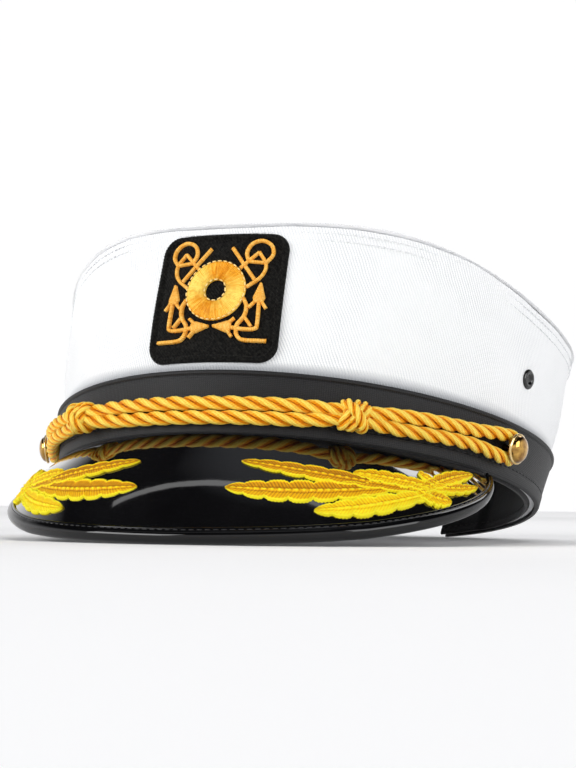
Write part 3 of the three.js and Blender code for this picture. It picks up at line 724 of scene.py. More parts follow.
def set_camera():
    """The photo looks from 19 degrees to the wearer's left and from below the rim. On a floor the
    camera keeps that side, and stands as low as a lens can. Lengths are in metres."""
    camera_azimuth = 18.8
    camera_distance = 0.661
    camera_height = 0.012
    camera_turn = 0.6
    aim = Vector((-0.0075, -0.0025, 0.0585))
    side = math.radians(camera_azimuth)
    stand = Vector((camera_distance * math.sin(side), -camera_distance * math.cos(side), camera_height))
    lens = bpy.data.cameras.new("camera")
    lens.lens = 82
    lens.sensor_width = 36
    lens.clip_start = 0.01
    lens.clip_end = 20
    camera = show("camera", lens)
    look = (aim - stand).to_track_quat("-Z", "Y").to_matrix().to_4x4()
    roll = Matrix.Rotation(math.radians(camera_turn), 4, "Z")
    camera.matrix_world = Matrix.Translation(stand) @ look @ roll
    bpy.context.scene.camera = camera


def area_light(name, place, target, width, height, power, mirrored=True):
    """A soft box in metres and watts; one that isn't mirrored leaves no reflection in the patent."""
    lamp = bpy.data.lights.new(name, "AREA")
    lamp.shape = "RECTANGLE"
    lamp.size = width
    lamp.size_y = height
    lamp.energy = power
    holder = show(name, lamp)
    holder.visible_glossy = mirrored
    holder.location = place
    holder.rotation_euler = (Vector(target) - Vector(place)).to_track_quat("-Z", "Y").to_euler()


def set_stage():
    """A wide disc of white paper for a floor. It glows a little, more so from 0.25 m to 2.6 m away
    from the hat, so that it meets the white studio wall in the same tone."""
    material, tree, shader = start_material("white_paper_floor")
    whites = ((0, "#ECECED"), (1, "#F1F1F2"))
    tint = add(tree, "ShaderNodeValToRGB", {"Fac": cloud(tree, 300, 2)}, stops=whites)
    place = add(tree, "ShaderNodeTexCoord").outputs["Object"]
    distance = add(tree, "ShaderNodeVectorMath", {0: place}, operation="LENGTH").outputs["Value"]
    span = {"From Min": 0.25, "From Max": 2.6, "To Min": 0.05, "To Max": 0.7}
    glow = add(tree, "ShaderNodeMapRange", {"Value": distance, **span})
    feed(tree, shader, {"Base Color": tint, "Roughness": 0.95, "Specular IOR Level": 0.1,
                        "Emission Color": tint, "Emission Strength": glow})
    radius = 12.0
    sides = 96
    turns = [TAU * at / sides for at in range(sides)]
    rim = [(radius * math.cos(turn), radius * math.sin(turn), 0.0) for turn in turns]
    mesh = bpy.data.meshes.new("floor")
    mesh.from_pydata(rim, [], [list(range(sides))])
    mesh.materials.append(material)
    floor = show("floor", mesh)


def set_lights():
    """White walls all round, soft boxes at the left, right, back and overhead, a thin lamp whose streak
    the visor mirrors, and a dark ceiling for the rest of the patent to mirror."""
    world = bpy.data.worlds.new("studio")
    bpy.context.scene.world = world
    world.use_nodes = True
    tree = world.node_tree
    tree.nodes.clear()
    direction = add(tree, "ShaderNodeTexCoord").outputs["Generated"]
    height = add(tree, "ShaderNodeSeparateXYZ", {"Vector": direction}).outputs["Z"]
    heights = ((0.3, "#FAFAFB"), (0.55, "#1E1E20"), (0.9, "#1E1E20"), (0.985, "#66686C"))
    walls = add(tree, "ShaderNodeValToRGB", {"Fac": height}, stops=heights)
    background = add(tree, "ShaderNodeBackground", {"Color": walls, "Strength": 1.05})
    add(tree, "ShaderNodeOutputWorld", {"Surface": background})
    middle = (0, 0, 0.05)
    area_light("key_left", (-1.1, -1.3, 0.75), middle, 1.1, 0.8, 19)
    area_light("fill_right", (1.5, -0.6, 0.6), middle, 1.0, 1.0, 11)
    area_light("overhead", (0.0, 0.15, 1.4), middle, 1.2, 1.2, 7.5, mirrored=False)
    area_light("strip", (-0.3, -0.4, 1.1), (-0.3, -0.05, 0.05), 1.5, 0.07, 0.3)
    area_light("rim_back", (0.2, 1.1, 1.3), middle, 1.0, 0.6, 6)


bpy.context.scene.view_settings.view_transform = "Standard"
set_camera()
set_stage()
set_lights()


# Crown

def where_wall_meets(x):
    """Angle behind the head where the wall, half way up to the arch's spring, stands at that x."""
    degrees = np.linspace(120, 240, 4801)
    places = band_point(degrees, CROWN_INNER + CLOTH_THICK / 2, OPENING_SPRING * 0.5)
    return float(degrees[np.argmin(np.abs(places[:, 0] - x))])


OPENING_START = where_wall_meets(OPENING_HALF)
OPENING_END = where_wall_meets(-OPENING_HALF)


def crown_stations():
    """Even angles round the crown, with two more close to each side of the rear opening."""
    step = 1.25
    hair = 0.04
    marks = [end + near for end in (OPENING_START, OPENING_END) for near in (-hair, hair)]
    return np.array(sorted(set(np.arange(0, 360, step)) | set(marks)))


def wall_foot(degrees):
    """Height of the crown wall's lower edge: the arch behind the head, else the hidden foot."""
    x = band_point(degrees, CROWN_INNER + CLOTH_THICK / 2, OPENING_SPRING)[..., 0]
    inside = (degrees > OPENING_START) & (degrees < OPENING_END)
    bow = np.sqrt(np.clip(1 - (x / OPENING_HALF) ** 2, 0, 1))
    arch = OPENING_SPRING + (OPENING_TOP - OPENING_SPRING) * bow
    return np.where(inside, arch, CROWN_FOOT)


def make_crown_side():
    """Crown wall in twill, lined inside. It has soft folds that lie flat round the eyelets, a hem
    round the arch, puckers under the top seam and a looser lining."""
    steps = 34
    fold_depth = 0.45
    flat_round_eyelet = 9
    hem_thick = 0.35
    pucker_depth = 0.125
    puckers = 26
    lining_slack = 0.9
    painted_shade_height = 4.2
    degrees = crown_stations()
    foot = wall_foot(degrees)[:, None]
    share = np.linspace(0, 1, steps)[None, :]
    top = edge_up(degrees)[:, None]
    up = foot + (top - foot) * share
    rise = up / top
    turn = degrees[:, None] + 0 * rise
    free = smooth(up, 16, 34)
    for side in (-1, 1):
        from_eyelet = np.linalg.norm(crown_point(turn, rise) - eyelet_seat(side)[0], axis=-1)
        free = free * (1 - np.exp(-((from_eyelet / flat_round_eyelet) ** 2)))
    folds = fold_depth * soft_waves(4, 7, 11, turn, up / 30) * free
    rear = smooth(np.abs(turn - 180), 38, 16)
    hem = hem_thick * rear * (1 - smooth(up - foot, 5.2, 6.2)) * smooth(up, 18, 26)
    pull = pucker_depth * smooth(up - top, -7, -1) * np.cos(np.radians(turn * puckers))
    half = CLOTH_THICK / 2
    outer = crown_point(turn, rise, half + folds + hem + pull)
    loose = smooth(up, 38, 52) * (1 - smooth(rise, 0.9, 1))
    lining_folds = lining_slack * soft_waves(9, 6, 9, turn, up / 18) * loose
    inner = crown_point(turn, rise, -half + folds * 0.6 - np.abs(lining_folds))
    grid = np.concatenate([outer, inner[:, ::-1]], axis=1)
    along = np.radians(np.append(degrees, degrees[0] + 360)) * MEAN_RADIUS
    face = 60
    seam = 2
    across = np.concatenate([share[0] * face, face + seam + share[0] * face, [2 * (face + seam)]])
    piece = loft("crown_side_cloth", grid, TWILL, joined=True, along=along, across=across)
    # Painted shade for the twill: grey fading out within this height above the band's top, all round but the
    # rear opening
    above_band = up - band_top(turn)
    painted_tuck_shade = (1 - smooth(above_band, 0, painted_shade_height)) * (np.abs(turn - 180) > 180 - OPENING_START)
    keep_values(piece, "painted_tuck_shade", np.concatenate([painted_tuck_shade, 0 * painted_tuck_shade], axis=1))
    add_inner_material(piece, LINING, lambda place: place[1] > face + seam / 2)
    return hand_over(piece, "crown_cloth", "crown_side")


def eyelet_seat(side):
    """Middle of an eyelet on the crown cloth, and the direction out of it."""
    degrees = side * EYELET_ANGLE
    low = band_top(degrees) / edge_up(degrees)
    rise = low + (1 - low) * EYELET_RISE
    return crown_point(degrees, rise), outward_of(crown_point, degrees, rise, 1, 0.01)


def add_inner_material(piece, material, belongs):
    """Gives the faces whose UV place says so a second material."""
    mesh = piece.data
    mesh.materials.append(material)
    uv = np.empty(len(mesh.loops) * 2, dtype=np.float32)
    mesh.uv_layers[0].data.foreach_get("uv", uv)
    uv = uv.reshape(-1, 2)
    for polygon in mesh.polygons:
        place = uv[polygon.loop_start:polygon.loop_start + polygon.loop_total].mean(axis=0)
        if belongs(place):
            polygon.material_index = 1


def top_panel_point(degrees, share, level):
    """A place `level` mm over the top panel's underside, at that share of the way to its edge."""
    front = crown_point(0, 1)
    back = crown_point(180, 1)
    centre = (front + back) / 2
    edge = crown_point(degrees, 1, TOP_OVERHANG + CLOTH_THICK / 2)

    def slope(y):
        return front[2] + (back[2] - front[2]) * (y - front[1]) / (back[1] - front[1])

    dip = edge[..., 2] - slope(edge[..., 1])
    point = centre + (edge - centre) * share[..., None]
    rise = dip * share ** 3 + TOP_RISE * (1 - share ** 2)
    point[..., 2] = slope(point[..., 1]) + rise + GAP + level
    return point


def make_crown_top():
    """Top panel, a little slack, with a sewn valley inside its rolled edge. Places across it are
    shares of the way from its middle."""
    valley_at = 0.955
    edge_from = 0.975
    sag_depth = 0.8
    valley_depth = 0.5
    degrees = np.arange(0, 360, 2)
    shares = np.concatenate([[0.02], np.linspace(0.08, valley_at, 26), [edge_from, 0.988, 0.996, 1.0]])
    turn, share = np.broadcast_arrays(degrees[None, :], shares[:, None])
    slack = smooth(share, 0.1, 0.5) * (1 - smooth(share, 0.9, 0.98))
    sag = sag_depth * soft_waves(21, 6, 7, turn, share * 3) * slack
    roll = np.clip((share - edge_from) / (1 - edge_from), 0, 1)
    rounded = np.where(share > edge_from, 1 - np.sqrt(np.clip(1 - roll ** 2, 0, 1)), 0)
    valley = -valley_depth * np.exp(-(((share - valley_at) / 0.012) ** 2))
    upper = top_panel_point(turn, share, CLOTH_THICK + sag + valley - rounded * CLOTH_THICK / 2)
    lower = top_panel_point(turn, share * 0.996, sag * 0.7 + rounded * CLOTH_THICK * 0.35)
    grid = np.concatenate([upper, lower[::-1]], axis=0)
    piece = loft("crown_top_cloth", grid, TWILL)
    flatten_uv(piece)
    add_inner_material_below(piece, LINING)
    return hand_over(piece, "crown_cloth", "crown_top")


def flatten_uv(piece):
    """The panel is cut flat from the cloth, so its weave runs straight across it."""
    mesh = piece.data
    places = np.empty(len(mesh.vertices) * 3)
    mesh.vertices.foreach_get("co", places)
    places = places.reshape(-1, 3) * 1000
    corner = np.empty(len(mesh.loops), dtype=np.int64)
    mesh.loops.foreach_get("vertex_index", corner)
    mesh.uv_layers[0].data.foreach_set("uv", places[corner][:, :2].astype(np.float32).ravel())


def add_inner_material_below(piece, material):
    """Gives the faces that look down a second material."""
    mesh = piece.data
    mesh.materials.append(material)
    for polygon in mesh.polygons:
        if polygon.normal.z < -0.3:
            polygon.material_index = 1


def crown_seams():
    """Twin rows of top stitching under the crown's edge, and one round the arch."""
    stitch = dict(pitch=2.6, length=2.1, thickness=0.42)
    hem = 4.6
    past_arch = 2.2
    degrees = np.linspace(0, 360, 721)
    rows = []
    for drop in (2.0, 4.6):
        rise = 1 - drop / edge_up(degrees)
        rows.append(crown_point(degrees, rise, CLOTH_THICK / 2 + 0.12))
    stitches("crown_edge_stitches", rows, THREAD_WHITE, "crown_cloth", **stitch)
    arch = np.linspace(OPENING_START - past_arch, OPENING_END + past_arch, 160)
    under_arch = np.clip(arch, OPENING_START + 0.1, OPENING_END - 0.1)
    level = np.maximum(wall_foot(under_arch), OPENING_SPRING) + hem
    route = crown_point(arch, level / edge_up(arch), CLOTH_THICK / 2 + 0.45)
    stitches("arch_stitches", [route], THREAD_WHITE, "crown_cloth", **stitch)


# Bands

def rear_end(out):
    """Angle at which a wall `out` mm off the head oval ends at the rear opening."""
    return 180 - math.degrees(math.asin(OPENING_HALF / (HEAD_HALF_WIDTH + out)))


STRAP_START = rear_end(0) - math.degrees(STRAP_OVERLAP / HEAD_HALF_WIDTH)


def open_wall(name, inner, material, section):
    """A wall round the head that leaves the opening behind it; `section` gives each ring's places."""
    end = rear_end(inner)
    degrees = np.linspace(-end, end, 300)[:, None]
    grid = section(degrees)
    along = np.radians(degrees[:, 0]) * MEAN_RADIUS
    return loft(name, grid, material, along=along, crease=60)


def make_band():
    """Outer band: a turned strip below a stitched line, and a thin piping rolled over the top."""
    piping = 0.85
    strip = 4.2

    def section(degrees):
        top = band_top(degrees)
        body = [
            (0.0, BAND_THICK - 0.35), (0.25, BAND_THICK - 0.05), (0.8, BAND_THICK + 0.15),
            (strip - 0.6, BAND_THICK + 0.2), (strip - 0.15, BAND_THICK + 0.05), (strip, BAND_THICK - 0.2),
            (strip + 0.2, BAND_THICK - 0.02), (strip + 0.8, BAND_THICK),
        ]
        outer = [band_point(degrees, BAND_INNER + out, up + 0 * degrees) for up, out in body]
        for share in (0.3, 0.5, 0.7, 0.9, 1):
            up = strip + 0.8 + (top - 2 * piping - strip - 1.0) * share
            outer.append(band_point(degrees, BAND_INNER + BAND_THICK, up))
        for turn in np.radians(np.linspace(-75, 200, 12)):
            out = BAND_INNER + BAND_THICK - piping * 0.4 + piping * math.cos(turn)
            outer.append(band_point(degrees, out, top - piping + piping * math.sin(turn)))
        inner = [band_point(degrees, BAND_INNER, top * share) for share in (0.9, 0.6, 0.3, 0.0)]
        return np.concatenate(outer + inner, axis=1)

    piece = open_wall("band_tape", BAND_INNER, TAPE, section)
    hand_over(piece, "band_cloth", "band")
    end = rear_end(BAND_INNER) - 0.6
    degrees = np.linspace(-end, end, 900)
    stitches("band_stitches", [band_point(degrees, BAND_OUTER + 0.02, strip)], THREAD_BLACK, "band_cloth",
             pitch=3.2, length=2.3, thickness=0.5)


def make_sweatband():
    """Inner band: folded lower edge with a stitched line, stepping in over the strap's sewn end. The
    profile's rows are (up, out) in millimetres, from its top to its lower edge."""
    ripple_depth = 0.25
    stitched_at = 3.0

    def step_in(degrees):
        return (STRAP_THICK + GAP) * smooth(degrees, STRAP_START - 6, STRAP_START - 3)

    def section(degrees):
        stepped = step_in(degrees)
        ripple = ripple_depth * soft_waves(33, 5, 12, degrees, 0.5)
        heights = (0.4, 2, 8, 16, 26, 35)
        outer = [band_point(degrees, SWEATBAND_THICK - stepped, up + 0 * degrees) for up in heights]
        profile = [(35.9, 0.7), (36, 0.3), (35.6, 0.02), (33, 0), (26, 0), (18, 0), (10, 0), (6, 0),
                   (3.4, 0.02), (3.0, 0.14), (2.6, 0.02), (1.6, -0.12), (0.6, -0.05), (0.1, 0.3), (0, 0.8)]
        inner = []
        for up, out in profile:
            free = ripple * smooth(up, 4, 20)
            inner.append(band_point(degrees, out - stepped - np.abs(free), up + 0 * degrees))
        return np.concatenate(outer + inner, axis=1)

    piece = open_wall("sweatband_cloth", 0, SWEAT_CLOTH, section)
    hand_over(piece, "sweatband_cloth", "sweatband")
    end = rear_end(0) - 1
    degrees = np.linspace(-end, end, 800)
    route = band_point(degrees, -0.05 - step_in(degrees), stitched_at)
    stitches("sweatband_stitches", [route], THREAD_BLACK, "sweatband_cloth",
             pitch=3.4, length=2.2, thickness=0.45)


def make_strap():
    """Rear strap: a flat double tongue with a rounded end, stitched all round, with press marks.
    Places along it are shares of its length from the sewn end."""
    press_marks = np.array([0.36, 0.48, 0.6, 0.72])
    mark_height = 7
    mark_depth = 0.35
    mm_per_degree = 1.5
    groove_depth = 0.12
    groove_at = 0.84
    corner = 0.13
    seam_inset = 2
    turn = 360 - 2 * STRAP_START
    edge_at = 180 - rear_end(0)
    along = np.linspace(0, 1, 170)
    degrees = STRAP_START + turn * along
    across = np.clip((degrees - 180 + edge_at) / (2 * edge_at), 0, 1)
    sewn = CROWN_INNER - SEAM - STRAP_THICK
    laid = -GAP - STRAP_THICK
    out = sewn + (laid - sewn) * smooth(across, 0.04, 0.96)
    bend = np.clip((along - 1 + corner) / corner, 0, 0.995)
    tall = STRAP_HEIGHT / 2 * np.sqrt(1 - bend ** 2)
    middle = STRAP_FOOT + STRAP_HEIGHT / 2
    from_marks = (degrees[:, None] - STRAP_START - turn * press_marks) * mm_per_degree

    def face(side):
        places = []
        for row in np.linspace(-1, 1, 23):
            soft = STRAP_THICK / 2 * np.sqrt(np.clip(1 - np.abs(row) ** 8, 0.02, 1))
            up = middle + tall * row
            from_mark_row = up[:, None] - STRAP_FOOT - mark_height
            nearest = np.min(from_marks ** 2 + from_mark_row ** 2, axis=1)
            dimple = mark_depth * np.exp(-nearest / 2.2)
            groove = groove_depth * math.exp(-(((abs(row) - groove_at) / 0.03) ** 2))
            level = out + STRAP_THICK / 2 + side * (soft - dimple - groove)
            places.append(band_point(degrees, level, up))
        return places

    grid = np.stack(face(1) + face(-1)[::-1], axis=1)
    piece = loft("rear_strap_cloth", grid, SWEAT_CLOTH, crease=60)
    hand_over(piece, "sweatband_cloth", "rear_strap")
    straight = along < 1 - corner * 0.55
    inner = degrees[straight]
    seams = []
    for side in (-0.05, STRAP_THICK + 0.05):
        for up in (seam_inset, STRAP_HEIGHT - seam_inset):
            seams.append(band_point(inner, out[straight] + side, STRAP_FOOT + up + 0 * inner))
    stitches("strap_stitches", seams, THREAD_BLACK, "sweatband_cloth", pitch=2.8, length=2.0, thickness=0.4)


# Visor

# Angle in degrees, depth in mm and width in degrees of each crease
VISOR_CREASES = ((49, 0.25, 0.8), (52.5, 0.3, 0.7), (55.5, 0.35, 0.7), (58.5, 0.3, 0.8), (61, 0.2, 0.6))
VISOR_END = VISOR_HALF_ANGLE * 0.985


def visor_relief(degrees, across):
    """Shallow creases in the patent where the visor is drawn tight towards its ends."""
    fan_out = 5
    total = 0
    for place, depth, width in VISOR_CREASES:
        fan = place + (across - 0.5) * fan_out
        total = total - depth * np.exp(-(((np.abs(degrees) - fan) / width) ** 2))
    return total * smooth(across, 0.12, 0.4) * (1 - smooth(across, 0.7, 0.95))


def make_visor():
    """Visor: patent above, board cloth below."""
    rows = 40
    edge = 2
    degrees = np.linspace(-VISOR_END, VISOR_END, 420)[:, None]
    across = np.linspace(0, 1, rows)[None, :]
    half = VISOR_THICK / 2
    upper = visor_point(degrees, across, half + visor_relief(degrees, across))
    lower = visor_point(degrees, across[:, ::-1], -half)
    grid = np.concatenate([upper, lower], axis=1)
    face = across[0] * VISOR_REACH
    under = VISOR_REACH + edge
    piece = loft("visor_patent", grid, PATENT, across=np.concatenate([face, under + face, [2 * under]]))
    add_inner_material(piece, UNDERSIDE, lambda place: place[1] > under - 0.5)
    hand_over(piece, "visor_patent", "visor")


def make_binding():
    """Rolled patent strip round the visor's edge, sewn down along its inner border. Its profile's rows
    are (past the visor's edge, off its middle) in millimetres."""
    turned_at = -0.6
    roll_radius = 1.45
    hidden_at = -2.4
    seam_in = 0.95
    degrees = np.linspace(-VISOR_END, VISOR_END, 420)
    reach = visor_reach(degrees)
    inner = VISOR_THICK / 2 + 0.05
    outer = VISOR_THICK / 2 + GAP + BINDING_THICK
    border = -BINDING_WIDTH
    profile = [(border, inner), (border - 0.15, inner + 0.35), (border + 0.1, inner + 0.7),
               (border + 0.6, inner + 0.78), (border + seam_in, inner + 0.6),
               (border + 1.3, inner + 0.8), (-1.4, outer), (turned_at, outer)]
    round_edge = [(turned_at + roll_radius * math.sin(turn), outer * math.cos(turn))
                  for turn in np.radians(np.arange(20, 161, 20))]
    under = [(past, -off) for past, off in profile[::-1]]
    hidden = [(hidden_at, -0.2), (hidden_at, 0.2)]
    section = profile + round_edge + under + hidden
    places = [visor_point(degrees, 1 + past / reach, off) for past, off in section]
    piece = loft("visor_binding_patent", np.stack(places, axis=1), PATENT_STRIP, crease=70)
    hand_over(piece, "visor_patent", "visor_binding")
    route = visor_point(degrees, 1 + (border + seam_in) / reach, inner + 0.62)
    stitches("binding_stitches", [route[6:-6]], THREAD_BLACK, "visor_patent",
             pitch=2.6, length=1.9, thickness=0.4)


# Leaf sprays, as leaves drawn on the visor. Tip and foot by angle and share of the way down, width as
# a share of the reach, lobes along each border, how far the leaf bends as a share of the reach, how
# much it lies over the others in mm, and how much brighter the leaf's whole tone is.
LEAVES = (
    dict(tip=(40, 0.60), foot=(50, 0.60), width=0.27, lobes=4, bend=0.0, lift=-0.1, bright=0.15),
    dict(tip=(10.5, 0.30), foot=(45, 0.63), width=0.155, lobes=8, bend=-0.02, lift=0.15, bright=0.08),
    dict(tip=(8.5, 0.56), foot=(37, 0.57), width=0.21, lobes=7, bend=0.03, lift=0.0, bright=0.18),
    dict(tip=(24, 0.78), foot=(46, 0.66), width=0.20, lobes=6, bend=0.03, lift=0.3, bright=0.6),
    dict(tip=(31, 0.40), foot=(47, 0.62), width=0.18, lobes=6, bend=-0.03, lift=0.35, bright=0.35),
    dict(tip=(44, 0.37), foot=(48, 0.62), width=0.17, lobes=3, bend=0.0, lift=0.3, bright=0.3),
    dict(tip=(58, 0.38), foot=(44, 0.60), width=0.25, lobes=6, bend=-0.03, lift=0.5, bright=0.25),
    dict(tip=(49, 0.82), foot=(42, 0.60), width=0.23, lobes=5, bend=0.02, lift=0.4, bright=0.35),
    dict(tip=(57, 0.70), foot=(46, 0.60), width=0.17, lobes=5, bend=0.0, lift=0.45, bright=0.3),
)


def leaf(name, side, shape):
    """One embroidered leaf: a raised lobed border, two sunken halves and a beaded midrib. Each place keeps
    its
    tone, painted light: a painted highlight on the border and the midrib's beads, painted shade in the
    grooves beside the midrib and on one half."""
    mm_per_degree = 1.75
    thread_pitch = 1.05
    bead_pitch = 2.4
    border_at = 0.84
    (tip_degrees, tip_down), (foot_degrees, foot_down) = shape["tip"], shape["foot"]
    along = np.linspace(0, 1, 170)[:, None]
    across = np.linspace(-1, 1, 29)[None, :]
    degrees = tip_degrees + (foot_degrees - tip_degrees) * along
    down = tip_down + (foot_down - tip_down) * along + shape["bend"] * np.sin(math.pi * along)
    swell = np.maximum(np.sin(0.84 * math.pi * along ** 0.75) ** 0.75, 0.08)
    notch = (1 - np.abs(np.sin(math.pi * shape["lobes"] * along ** 0.9))) ** 2
    length = np.abs(foot_degrees - tip_degrees) * mm_per_degree
    stitches_along = length / thread_pitch
    fray = 0.035 * np.cos(TAU * along * stitches_along)
    half = shape["width"] / 2 * swell * (1.06 - 0.3 * notch + fray)
    place = down + half * across
    border = np.abs(across)
    bead = 0.5 + 0.5 * np.cos(along * TAU * length / bead_pitch)
    midrib = np.exp(-((across / 0.1) ** 2))
    groove = np.exp(-(((border - 0.21) / 0.07) ** 2))
    rim = np.exp(-(((border - border_at) / 0.11) ** 2))
    edge = np.sqrt(np.clip(1 - border ** 6, 0, 1))
    threads = np.cos(TAU * (along * stitches_along + border * 2))
    padding = 0.62 * edge + 0.36 * rim + 0.5 * midrib * (0.35 + 0.65 * bead) - 0.18 * groove
    height = shape["lift"] + (padding + 0.1 * threads * edge) * swell ** 0.35
    base = VISOR_THICK / 2
    upper = visor_point(side * degrees, place, base + height)
    lower = visor_point(side * degrees, place, base - 0.15 + 0 * height)[:, ::-1]
    grid = np.concatenate([upper, lower], axis=1)
    rows_v = np.concatenate([across[0] * 4, 8.2 - across[0][::-1] * 4, [20]])
    piece = loft(name, grid, LEAF_THREAD, along=along[:, 0] * length, across=rows_v, crease=80)
    # Painted light: highlight on the raised border and the midrib's beads, shade in the grooves and on the
    # half nearer the band
    edging = smooth(border, 0.66, border_at)
    tone = 0.19 + shape["bright"] + 0.62 * edging + 0.7 * midrib * bead - 0.3 * groove
    tone = tone - 0.16 * (across < 0) * (1 - edging) + 0.16 * threads
    tone = np.concatenate([np.clip(tone, 0, 1), 0.5 + 0 * tone], axis=1)
    keep_values(piece, "tone", tone)
    return piece


def make_sprays():
    """Both sprays of leaves, mirrored about the visor's middle."""
    for side, word in ((-1, "right"), (1, "left")):
        leaves = [leaf(f"leaf_{word}_{at}", side, shape) for at, shape in enumerate(LEAVES)]
        spray = join_meshes(f"leaf_spray_{word}_stitched", leaves)
        hand_over(spray, "leaf_thread", f"leaf_spray_{word}")


# Patch and emblem

def rounded_outline(count):
    """Even places round the patch's outline, and the outline's length."""
    half_x = PATCH_WIDTH / 2 - PATCH_CORNER
    half_y = PATCH_HEIGHT / 2 - PATCH_CORNER
    places = []
    for corner, (x, y) in enumerate(((1, 1), (-1, 1), (-1, -1), (1, -1))):
        for step in range(10):
            turn = (corner + step / 9) * math.pi / 2
            round_x = PATCH_CORNER * math.cos(turn)
            round_y = PATCH_CORNER * math.sin(turn)
            places.append((x * half_x + round_x, y * half_y + round_y))
    places = np.array(places + places[:1])
    length = running_length(places)
    wanted = np.linspace(0, length[-1], count, endpoint=False)
    return np.stack([np.interp(wanted, length, places[:, axis]) for axis in (0, 1)], axis=-1), length[-1]


def make_patch():
    """Black patch with an overlocked border: slanted cord-like stitches round a twill field. The
    profile's rows are (inset from the outline, height) in millimetres."""
    border_pitch = 1.15
    border_wave = 0.16
    sunk = 0.15
    count = 420
    outline, length = rounded_outline(count)
    profile = [(0, 0.35), (0.25, 0.85), (0.6, 1.2), (1.0, 1.36), (1.4, 1.4), (1.8, 1.32), (2.2, 1.1),
               (2.5, 0.75), (2.8, 0.5), (3.4, 0.6), (5, 0.7), (8, 0.7), (12, 0.7), (16, 0.7), (19.5, 0.7)]
    radius = np.linalg.norm(outline, axis=1)
    slant = np.arange(count) / count * TAU * round(length / border_pitch)
    rings = []
    for inset, height in profile:
        wave = border_wave * np.cos(slant + inset * 1.6) * (0.2 < inset < 2.7)
        spot = outline * (1 - inset / radius)[:, None]
        rings.append(on_panel(spot[:, 0], spot[:, 1], height - sunk + wave))
    back = []
    for share in (0.1, 0.5, 0.98):
        spot = outline * share
        back.append(on_panel(spot[:, 0], spot[:, 1], -0.25 + 0 * radius))
    grid = np.stack(rings[::-1] + back[::-1], axis=0)
    piece = loft("patch_cloth", grid, PATCH_CLOTH, crease=80)
    hand_over(piece, "patch_cloth", "patch")


def satin_line(name, points, width, lift=0.0, mirror=1, taper=None):
    """A padded satin-stitched line on the patch through a few points, `width` mm wide and, with
    `taper`, narrowed by shares along it."""
    thread_pitch = 0.62
    thread_relief = 0.05
    route = smooth_route(np.array(points, dtype=float) * (mirror, 1), step=0.28)
    along = running_length(route)
    ahead = unit(np.gradient(route, axis=0))
    side = np.stack([-ahead[:, 1], ahead[:, 0]], axis=-1)
    size = np.full(len(route), width / 2)
    if taper is not None:
        size = size * np.interp(along / along[-1], *taper)
    rings = []
    for share in np.linspace(-1, 1, 9):
        crown = 0.95 * math.sqrt(max(1 - abs(share) ** 2.4, 0)) + 0.1
        threads = thread_relief * np.cos(TAU * (along + share * 0.35) / thread_pitch)
        spot = route + side * (size * share)[:, None]
        rings.append(on_panel(spot[:, 0], spot[:, 1], EMBLEM_FOOT + lift + crown * 0.75 + threads))
    for share in (1, 0, -1):
        spot = route + side * (size * share)[:, None]
        rings.append(on_panel(spot[:, 0], spot[:, 1], EMBLEM_BACK + 0 * along))
    around = np.linspace(0, width * 2, len(rings) + 1)
    return loft(name, np.stack(rings, axis=1), EMBLEM_THREAD, along=along, across=around, crease=80)


def smooth_route(points, step):
    """Catmull-Rom curve through the points, resampled at equal steps."""
    knots = np.concatenate([2 * points[:1] - points[1:2], points, 2 * points[-1:] - points[-2:-1]])
    share = np.linspace(0, 1, 24, endpoint=False)[:, None]
    pieces = []
    for at in range(len(knots) - 3):
        before, start, end, after = knots[at:at + 4]
        square = 2 * before - 5 * start + 4 * end - after
        cube = 3 * start - before - 3 * end + after
        pieces.append(0.5 * (2 * start + (end - before) * share + square * share ** 2 + cube * share ** 3))
    dense = np.concatenate(pieces + [points[-1:]])
    length = running_length(dense)
    count = max(int(length[-1] / step), 8)
    wanted = np.linspace(0, length[-1], count)
    return np.stack([np.interp(wanted, length, dense[:, axis]) for axis in range(dense.shape[1])], axis=-1)


# Heights over the patch's back, and where the ring's middle lies over the patch's, in millimetres
EMBLEM_FOOT = 0.75
EMBLEM_BACK = 0.35
EMBLEM_RING_AT = 2

# One anchor of the pair, as lines from the ring's middle in millimetres on a patch of the width that
# they are drawn for: route, width, and for the flukes the taper, as shares along and of the width
EMBLEM_DRAWN_FOR = 44
FLUKE = ((0, 0.75, 1), (0.2, 1, 0.7))
ANCHOR_LINES = (
    dict(points=[(3.6, 14.3), (12.2, 3.6)], width=1.3),
    dict(points=[(7.0, 7.4), (12.5, 12.9)], width=1.2),
    dict(points=[(12.5, 12.9), (15.0, 9.3), (15.1, 6.6), (13.6, 4.0), (9.8, 1.0)], width=1.2),
    dict(points=[(9.7, 9.7), (15.0, 9.3)], width=1.15),
    dict(points=[(9.6, 9.6), (8.5, 12.6), (9.8, 15.6), (12.9, 16.8), (16.1, 15.3), (17.0, 12.2),
                 (15.2, 9.4)], width=1.3),
    dict(points=[(14.5, 2.4), (14.4, -4.0)], width=4.2, taper=FLUKE),
    dict(points=[(14.4, 0.6), (15.4, -3.4), (17.0, -5.9)], width=1.15),
    dict(points=[(14.4, 0.6), (13.4, -3.4), (11.4, -5.7)], width=1.15),
    dict(points=[(14.6, -3.6), (14.8, -10.9), (14.2, -12.4), (11.2, -12.7), (6.5, -12.2)], width=1.3),
    dict(points=[(0.7, -11.7), (6.6, -12.0)], width=4.0, taper=FLUKE),
    dict(points=[(2.4, -11.6), (5.4, -10.8), (7.5, -9.2)], width=1.1),
    dict(points=[(2.4, -11.8), (5.2, -13.0), (7.2, -15.2)], width=1.1),
    dict(points=[(9.6, -2.8), (10.8, -5.3), (10.4, -8.6), (8.6, -11.2), (8.4, -13.4), (9.2, -15.2),
                 (11.4, -16.2), (18.2, -16.3)], width=1.3),
    dict(points=[(10.6, -8.8), (13.0, -11.8)], width=1.15),
)


def on_ring(radius, turn, height):
    """A place on the patch by its distance from the ring's middle and its turn round it."""
    return on_panel(radius * np.cos(turn), EMBLEM_RING_AT + radius * np.sin(turn), height)


